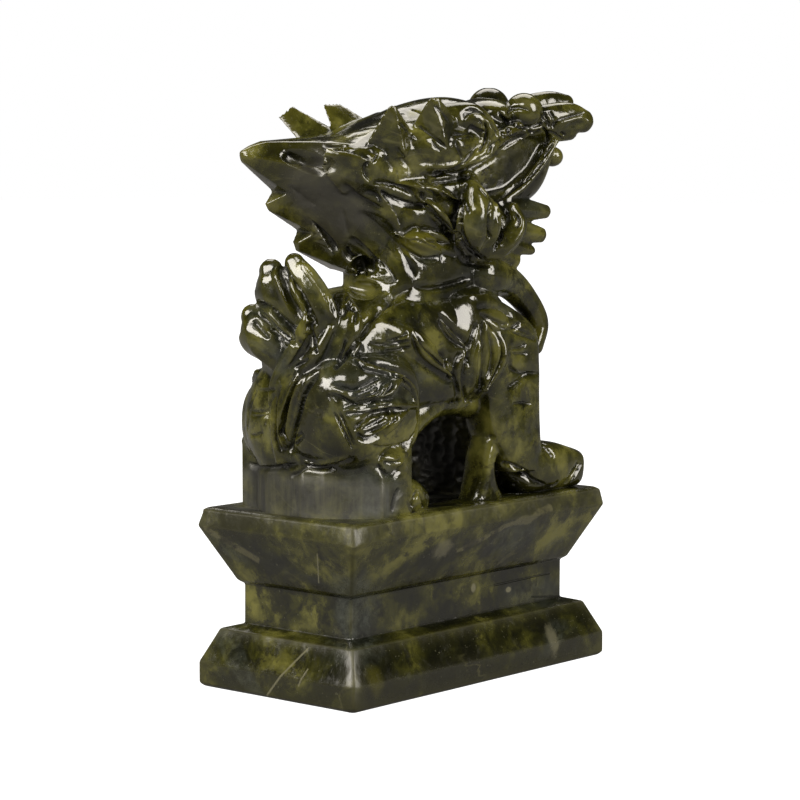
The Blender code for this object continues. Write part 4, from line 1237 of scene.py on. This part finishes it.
# %% A small language for materials
class Graph:
    """The nodes of one material or world."""

    def __init__(self, tree):
        self.tree = tree
        tree.nodes.clear()

    def node(self, kind, settings=None, **sockets):
        """A node of this type: settings first, then a value or a link for each socket, by name or, as
        in n0, by number."""
        made = self.tree.nodes.new(kind)
        for name, value in (settings or {}).items():
            setattr(made, name, value)
        for name, value in sockets.items():
            numbered = name[0] == "n" and name[1:].isdigit()
            self.feed(made.inputs[int(name[1:]) if numbered else name.replace("_", " ")], value)
        return made

    def feed(self, socket, value):
        """Give a socket a link from a flow, or a plain value; a colour gets its fourth number here."""
        if isinstance(value, Flow):
            self.tree.links.new(value.out, socket)
        else:
            socket.default_value = (*value, 1) if socket.type == "RGBA" else value

    def out(self, made, name):
        return Flow(self, made.outputs[name])

    def vector(self, operation, *values, **more):
        """A Vector Math node on these vectors; a length comes out as a number."""
        numbered = {f"n{k}": value for k, value in enumerate(values)}
        made = self.node("ShaderNodeVectorMath", {"operation": operation}, **numbered, **more)
        return self.out(made, "Value" if operation == "LENGTH" else "Vector")

    def ramp(self, value, *stops):
        """A colour ramp through (place, colour) stops."""
        made = self.node("ShaderNodeValToRGB", n0=value)
        band = made.color_ramp
        while len(band.elements) < len(stops):
            band.elements.new(0.5)
        for element, (place, colour) in zip(band.elements, stops):
            element.position = place
            element.color = (*colour, 1)
        return self.out(made, "Color")

    def mix(self, factor, a, b):
        """Colour a, changed towards b by a factor."""
        made = self.node("ShaderNodeMix", {"data_type": "RGBA"}, n0=factor, n6=a, n7=b)
        return Flow(self, made.outputs[2])


class Flow:
    """A number that flows from a socket: arithmetic on it adds Math nodes."""

    def __init__(self, graph, out):
        self.graph = graph
        self.out = out

    def math(self, operation, *values):
        made = self.graph.node("ShaderNodeMath", {"operation": operation})
        for socket, value in zip(made.inputs, values):
            self.graph.feed(socket, value)
        return Flow(self.graph, made.outputs[0])

    def __add__(self, other):
        return self.math("ADD", self, other)

    def __radd__(self, other):
        return self.math("ADD", other, self)

    def __sub__(self, other):
        return self.math("SUBTRACT", self, other)

    def __rsub__(self, other):
        return self.math("SUBTRACT", other, self)

    def __mul__(self, other):
        return self.math("MULTIPLY", self, other)

    def __rmul__(self, other):
        return self.math("MULTIPLY", other, self)

    def __pow__(self, other):
        return self.math("POWER", self, other)

    def __abs__(self):
        return self.math("ABSOLUTE", self)

    def at_least(self, other):
        return self.math("MAXIMUM", self, other)

    def at_most(self, other):
        return self.math("MINIMUM", self, other)

    def step(self, low, high):
        """0 below low, 1 above high and an S-curve between; with low over high it falls instead."""
        made = self.graph.node("ShaderNodeMapRange", {"interpolation_type": "SMOOTHSTEP"}, Value=self)
        made.inputs["From Min"].default_value = low
        made.inputs["From Max"].default_value = high
        return Flow(self.graph, made.outputs["Result"])


print("flows know:", ", ".join(name.strip("_") for name, made in vars(Flow).items() if callable(made)))

# %% The stone's own space, in millimetres
serpentine = bpy.data.materials.new("serpentine")
serpentine.use_nodes = True
g = Graph(serpentine.node_tree)
place = g.vector("SCALE", g.out(g.node("ShaderNodeTexCoord"), "Object"), Scale=1 / MM)
apart = g.node("ShaderNodeSeparateXYZ", Vector=place)
x, y, z = (g.out(apart, axis) for axis in "XYZ")


def measured(name):
    """What was measured on the mesh and kept under this name."""
    return g.out(g.node("ShaderNodeAttribute", {"attribute_name": name}), "Fac")


def combined(x, y, z):
    """A place made of three numbers."""
    return g.out(g.node("ShaderNodeCombineXYZ", X=x, Y=y, Z=z), "Vector")


def noise(scale, detail, rough, distortion=0.0, shift=0.0, where=place):
    """Noise of about one cloud every 1 / scale millimetres."""
    moved = g.vector("ADD", where, (shift, 0.7 * shift, 0))
    made = g.node("ShaderNodeTexNoise", {"noise_dimensions": "3D"}, Vector=moved, Scale=scale,
                  Detail=detail, Roughness=rough, Distortion=distortion)
    return g.out(made, "Fac")


edge, groove = measured("edge"), measured("groove")
print("noise and measures are ready")

# %% Masks: patches and straight lines
def any_of(first, *others):
    """The most of several masks."""
    for other in others:
        first = first.at_least(other)
    return first


def patch(centre, radii, ragged=0.5, scale=0.12):
    """1 in the middle of an ellipsoid and 0 outside it, with a ragged border."""
    centre = tuple(centre)
    far = g.vector("LENGTH", g.vector("DIVIDE", g.vector("SUBTRACT", place, centre), radii))
    return (far + (noise(scale, 4, 0.6, 0.5, centre[0]) - 0.5) * (2 * ragged)).step(1.15, 0.55)


def patches(*rows):
    """The most of several patches, each (centre, radii, strength) and, if need be, (ragged, scale)."""
    return any_of(*(patch(centre, radii, *border) * share for centre, radii, share, *border in rows))


def scratch(across, up, low, high, width):
    """1 along a straight line on a side of the plinth: with u across and v up, t is the share of the
    line's length at which (u, v) is nearest, and the line fades over its width."""
    run = high[0] - low[0], high[1] - low[1]
    square = run[0] ** 2 + run[1] ** 2
    t = (across - low[0]) * (run[0] / square) + (up - low[1]) * (run[1] / square)
    t = t.at_least(0.0).at_most(1.0)
    off = (across - low[0] - t * run[0]) ** 2 + (up - low[1] - t * run[1]) ** 2
    return off.step(width**2, 0.1 * width**2)


def grown(what):
    """Print how large the material has become."""
    print(f"{what}: {len(g.tree.nodes)} nodes so far")


grown("before any colour")

# %% [markdown]
# ## The body of the stone
#
# Serpentine grew in beds. Here they lie on a slant through the block, so they show as streaks that run
# down towards the near corner. Clouds, small clouds and beds together give a tone, and a ramp of four
# olives turns it into colour. The tone is a little darker low on the plinth and a very little lighter from
# its upper part up.

# %% Clouds and beds
OLIVES = ((0.39, (0.0026, 0.0029, 0.0007)), (0.465, (0.0085, 0.0089, 0.0013)),
          (0.525, (0.0320, 0.0320, 0.0046)), (0.605, (0.115, 0.110, 0.024)))
beds = combined(z - x * 0.34 - y * 0.59, x * 0.35, y * 0.35)
layers = noise(0.07, 3, 0.5, 0.6, 17, beds)
cloud = noise(0.06, 4, 0.55, 0.7)
small = noise(0.2, 4, 0.6, 0.5, 11)
# The tone falls a little towards the bottom of the plinth and rises a very little from its upper part up.
tone = (cloud * 0.42 + small * 0.26 + layers * 0.32
        - z.step(18.0, 13.0) * 0.06 + z.step(34.0, 38.0) * 0.012)
colour = g.ramp(tone, *OLIVES)
grown("clouds and beds")

# %% Grey seams and cream veins
SEAMS = (
    # centre, radii, strength
    ((-44, -20, 22), (14, 9, 13), 0.75),
    ((-36, -20, 51), (9, 9, 9), 0.75),
    ((14, -24, 35), (11, 6, 6), 0.5),
    ((30, -20, 18), (16, 6, 5), 0.4),
)
seam = any_of(noise(0.04, 5, 0.55, 1.0, 31, beds).step(0.57, 0.67) * 0.5, patches(*SEAMS))
grey = g.ramp(noise(0.5, 5, 0.65, 0.4, 5), (0.35, (0.011, 0.014, 0.011)), (0.65, (0.050, 0.056, 0.046)))
colour = g.mix(seam, colour, grey)
# Fine veins follow the beds, and two wider ones cross the rear end and the near side of the plinth.
fine = abs(layers - 0.52).step(0.014, 0.0) * noise(0.06, 2, 0.5, 0, 57).step(0.48, 0.6)
colour = g.mix(fine * 0.3, colour, (0.12, 0.113, 0.050))
wobble = (noise(0.12, 3, 0.6, 0, 61) - 0.5) * 9
rear_vein = scratch(y + wobble, z + wobble * 0.5, (23, 39.5), (9, 33), 1.3) * x.step(-38.0, -39.0)
near_vein = scratch(x + wobble, z - wobble * 0.4, (26, 41.5), (-8, 34.5), 1.1) * y.step(-15.0, -16.0)
colour = g.mix(any_of(rear_vein, near_vein) * 0.5, colour, (0.13, 0.12, 0.062))
grown("seams and veins")

# %% Dark clouds, grains and thin places
DARK_CLOUDS = (
    ((1, -15, 90), (15, 10, 11)),
    ((-27, -16, 76), (9, 9, 9)),
    ((24, -17, 127), (9, 8, 8)),
    ((-3, -14, 102), (10, 8, 7)),
    ((30, -12, 66), (6, 9, 12)),
)
dark = any_of(noise(0.11, 5, 0.7, 0.3, 71).step(0.50, 0.62),
              patches(*((centre, radii, 0.95, 0.5, 0.09) for centre, radii in DARK_CLOUDS)))
colour = g.mix(dark * 0.8, colour, (0.0028, 0.0030, 0.0011))
grains = noise(1.5, 1, 0.5, 0, 97).step(0.71, 0.76)
colour = g.mix(grains * 0.4, colour, (0.12, 0.118, 0.075))
# A leaf of the cheek, the mouth's wall, the loop on the chest and the plinth's rear edge glow yellow.
glow = patches((head(-7.5, -15, -14.8), (9, 5, 3.5), 1, 0.3),
               (head(14, -13, -19), (5, 5, 2.5), 0.7, 0.3),
               ((31, -16, 88), (3, 5, 7), 0.5, 0.3),
               ((-41, -20, 6), (4, 9, 5), 0.5, 0.5))
colour = g.mix(glow * 0.8, colour, (0.088, 0.082, 0.009))
# Painted light on thin convex edges, as if lit through the stone; painted shade, with wax and dust, in the
# grooves.
colour = g.mix(edge * 0.5, colour, (0.060, 0.056, 0.008))
colour = g.mix(groove * 0.6, colour, (0.0045, 0.0047, 0.0022))
grown("dark clouds, grains and thin places")

# %% [markdown]
# ## Marks of the work, painted sheen and painted shade
#
# The saw and the grinder left scratches and pale spots on the plinth. The flats of the mane were never
# polished as far as the body, and they also get a painted grey sheen; the block under the haunches has the
# grinder's upright streaks; and the broken stone below the belly, with the backs of the forelegs, is
# painted dark as shade.

# %% Scratches and spots on the plinth
PALE = (0.17, 0.16, 0.10)
SCRATCHES = (
    # on the rear end: from, to, width
    ((-8.2, 13), (2.8, 0.2), 0.35),
    ((-10.1, 8.6), (-8.2, 4.6), 0.3),
    ((-12.8, 36.6), (-9.8, 29), 0.25),
)
SAW_MARKS = (((13.1, 22.1), (36.5, 22.4), 0.3), ((28.7, 17.1), (41.4, 15.6), 0.25))  # on the near side
pale = any_of(*(scratch(y, z, *line) for line in SCRATCHES)) * x.step(-39.0, -40.0)
colour = g.mix(pale * 0.6, colour, PALE)
sawn = any_of(*(scratch(x, z, *line) for line in SAW_MARKS)) * y.step(-17.0, -17.5)
colour = g.mix(sawn * 0.8, colour, (0.004, 0.004, 0.002))
spots = patches(((4.8, -17.9, 22.5), (1.0, 2, 1.2), 1, 0.3, 0.4),
                ((19, -17.9, 20.2), (1.2, 2, 0.8), 1, 0.3, 0.4),
                ((28, -24, 6.5), (2.6, 4, 5), 0.6, 0.6, 0.3),
                ((-14, -23, 35), (4, 5, 3), 0.6, 0.6, 0.3))
colour = g.mix(spots * 0.7, colour, PALE)
grown("scratches and spots")

# %% Unpolished places, painted sheen and painted shade
# Painted reflection: the flats of the mane get a grey colour that stands in for the room's sheen on them;
# they are also rougher.
dull_and_painted_sheen = patches(*((head(-30, 8 * side, -4), (16, 9, 14), 1, 0.25, 0.08) for side in NEAR_AND_FAR))
colour = g.mix(dull_and_painted_sheen * 0.5, colour, (0.055, 0.052, 0.042))
seat = patch((-36, 0, 49), (17, 30, 8.5), 0.2, 0.1)
streaks = noise(0.6, 4, 0.6, 0.2, 13, combined(x, y, z * 0.1))
colour = g.mix(seat * 0.7, colour, g.ramp(streaks, (0.45, (0.003, 0.003, 0.0015)),
                                          (0.66, (0.024, 0.0235, 0.0110))))
# Painted shade: the hole under the belly and the rear faces of the forelegs beside it are darkened nearly
# to black; as broken stone they are also rougher.
below = patches(((2, 0, 53), (26, 15, 15), 1, 0.15, 0.2), ((5, 0, 62), (12, 17.5, 12), 0.8, 0.15, 0.2))
colour = g.mix(below * 0.85, colour, (0.0022, 0.0024, 0.0014))
grown("unpolished places")

# %% [markdown]
# ## Polish
#
# Felt and wax give the stone its gloss, which bends a little because no hand polishes quite flat. It is
# rougher in grooves, on the flats of the mane, on the block under the haunches, under the belly and
# along the plinth's ground edges.

# %% Polish, and the material on the stone
GLOSS = 0.12  # roughness where the stone is best polished
ground = edge * z.step(46.0, 44.0)
roughness = (GLOSS + groove * 0.2 + noise(0.35, 3, 0.6, 0, 91).step(0.5, 0.75) * 0.10 + dull_and_painted_sheen * 0.20
             + below * 0.35 + any_of(seat * 0.72, ground * 0.5))
waves = (noise(0.16, 2, 0.4, 0, 23) * 0.7 + noise(0.45, 2, 0.5, 0, 29) * 0.16
         + noise(1.1, 2, 0.5, 0, 41) * 0.05)
bump = g.node("ShaderNodeBump", Strength=0.4, Distance=0.0012, Height=waves - sawn * 0.3)
polished = g.node("ShaderNodeBsdfPrincipled", Base_Color=colour, Roughness=roughness, IOR=1.58,
                  Normal=g.out(bump, "Normal"))
g.node("ShaderNodeOutputMaterial", Surface=g.out(polished, "BSDF"))
final.materials.clear()
final.materials.append(serpentine)
print("serpentine has", len(g.tree.nodes), "nodes")
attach(dragon, "root")
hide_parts("dragon_figurine")

# %% [markdown]
# ## Studio
#
# The figurine stands on white paper. Polished stone shows what stands round it, so four soft boxes give
# it long highlights: one on each side, one over the camera and a large one behind. The room is pale near
# the floor and dark above, which keeps the upper planes of the stone deep.

# %% The camera
VIEW_AZIMUTH = math.radians(40.83)
VIEW_FALL = math.radians(5.307)
VIEW_DISTANCE = 0.6533
LENS = 116.1
SENSOR = 36
AIM = np.array((-0.00118, 0.00137, 0.06923))


def aimed(name, data, azimuth, rise, distance):
    """An object that looks at AIM from AIM + distance * (-cos a cos r, -sin a cos r, sin r)."""
    away = np.array((-math.cos(azimuth) * math.cos(rise), -math.sin(azimuth) * math.cos(rise),
                     math.sin(rise)))
    made = linked(name, data)
    made.location = AIM + distance * away
    made.rotation_euler = Vector(-away).to_track_quat("-Z", "Y").to_euler()
    return made


cam_data = bpy.data.cameras.new("camera")
cam_data.sensor_width = SENSOR
cam_data.lens = LENS
cam_data.clip_start = 0.01
cam = aimed("camera", cam_data, VIEW_AZIMUTH, VIEW_FALL, VIEW_DISTANCE)
bpy.context.scene.camera = cam
print("the camera stands at", [round(v, 3) for v in cam.location])

# %% The paper on the floor
FLOOR_HALF = 6.0
BELOW = -0.0002  # the paper lies this far under the stone
corners = [(x * FLOOR_HALF, y * FLOOR_HALF, BELOW) for x, y in ((-1, -1), (1, -1), (1, 1), (-1, 1))]
floor_mesh = bpy.data.meshes.new("floor")
floor_mesh.from_pydata(corners, [], [(0, 1, 2, 3)])
floor = linked("floor", floor_mesh)
paper = bpy.data.materials.new("paper")
paper.use_nodes = True
on_paper = Graph(paper.node_tree)
# The paper looks white to the eye, and gives the stone only a little light.
seen = on_paper.out(on_paper.node("ShaderNodeLightPath"), "Is Camera Ray")
white = on_paper.ramp(seen, (0, (0.10, 0.096, 0.088)), (1, (1, 1, 1)))
sheet = on_paper.node("ShaderNodeBsdfPrincipled", Base_Color=(0.11, 0.11, 0.11), Roughness=0.9,
                      Emission_Color=white, Emission_Strength=1.2)
on_paper.node("ShaderNodeOutputMaterial", Surface=on_paper.out(sheet, "BSDF"))
floor_mesh.materials.append(paper)
print("the paper measures", 2 * FLOOR_HALF, "m each way")

# %% Soft boxes
WARM_WHITE = (1.0, 0.95, 0.87)
BOXES = (
    # name, degrees to the right of the camera, degrees up, distance, width, height, watts
    ("left_box", -56, 30, 0.9, 0.5, 0.36, 8.5),
    ("front_box", -16, 44, 1.0, 0.4, 0.4, 6),
    ("right_box", 64, 24, 0.9, 0.4, 0.55, 8),
    ("top_box", 180, 60, 1.0, 0.9, 0.6, 8),
)
for name, right, up, distance, width, height, watts in BOXES:
    data = bpy.data.lights.new(name, "AREA")
    data.shape = "RECTANGLE"
    data.size = width
    data.size_y = height
    data.energy = watts
    data.color = WARM_WHITE
    aimed(name, data, VIEW_AZIMUTH + math.radians(right), math.radians(up), distance)
print("soft boxes:", len(BOXES))

# %% The room
ROOM = ((0.0, 0.8), (0.3, 0.12), (1.0, 0.06))  # height on the sky, brightness
ROOM_STRENGTH = 0.24
world = bpy.data.worlds.new("studio")
world.use_nodes = True
bpy.context.scene.world = world
sky = Graph(world.node_tree)
apart = sky.node("ShaderNodeSeparateXYZ", Vector=sky.out(sky.node("ShaderNodeTexCoord"), "Generated"))
room = sky.ramp(sky.out(apart, "Z"), *((height, (b, 0.97 * b, 0.91 * b)) for height, b in ROOM))
lit = sky.node("ShaderNodeBackground", Color=room, Strength=ROOM_STRENGTH)
plain = sky.node("ShaderNodeBackground", Color=(1, 1, 1))
shown = sky.node("ShaderNodeMixShader", n0=sky.out(sky.node("ShaderNodeLightPath"), "Is Camera Ray"),
                 n1=sky.out(lit, "Background"), n2=sky.out(plain, "Background"))
sky.node("ShaderNodeOutputWorld", Surface=sky.out(shown, "Shader"))
bpy.context.scene.view_settings.view_transform = "Standard"
print("the room has", len(sky.tree.nodes), "nodes")

# %% [markdown]
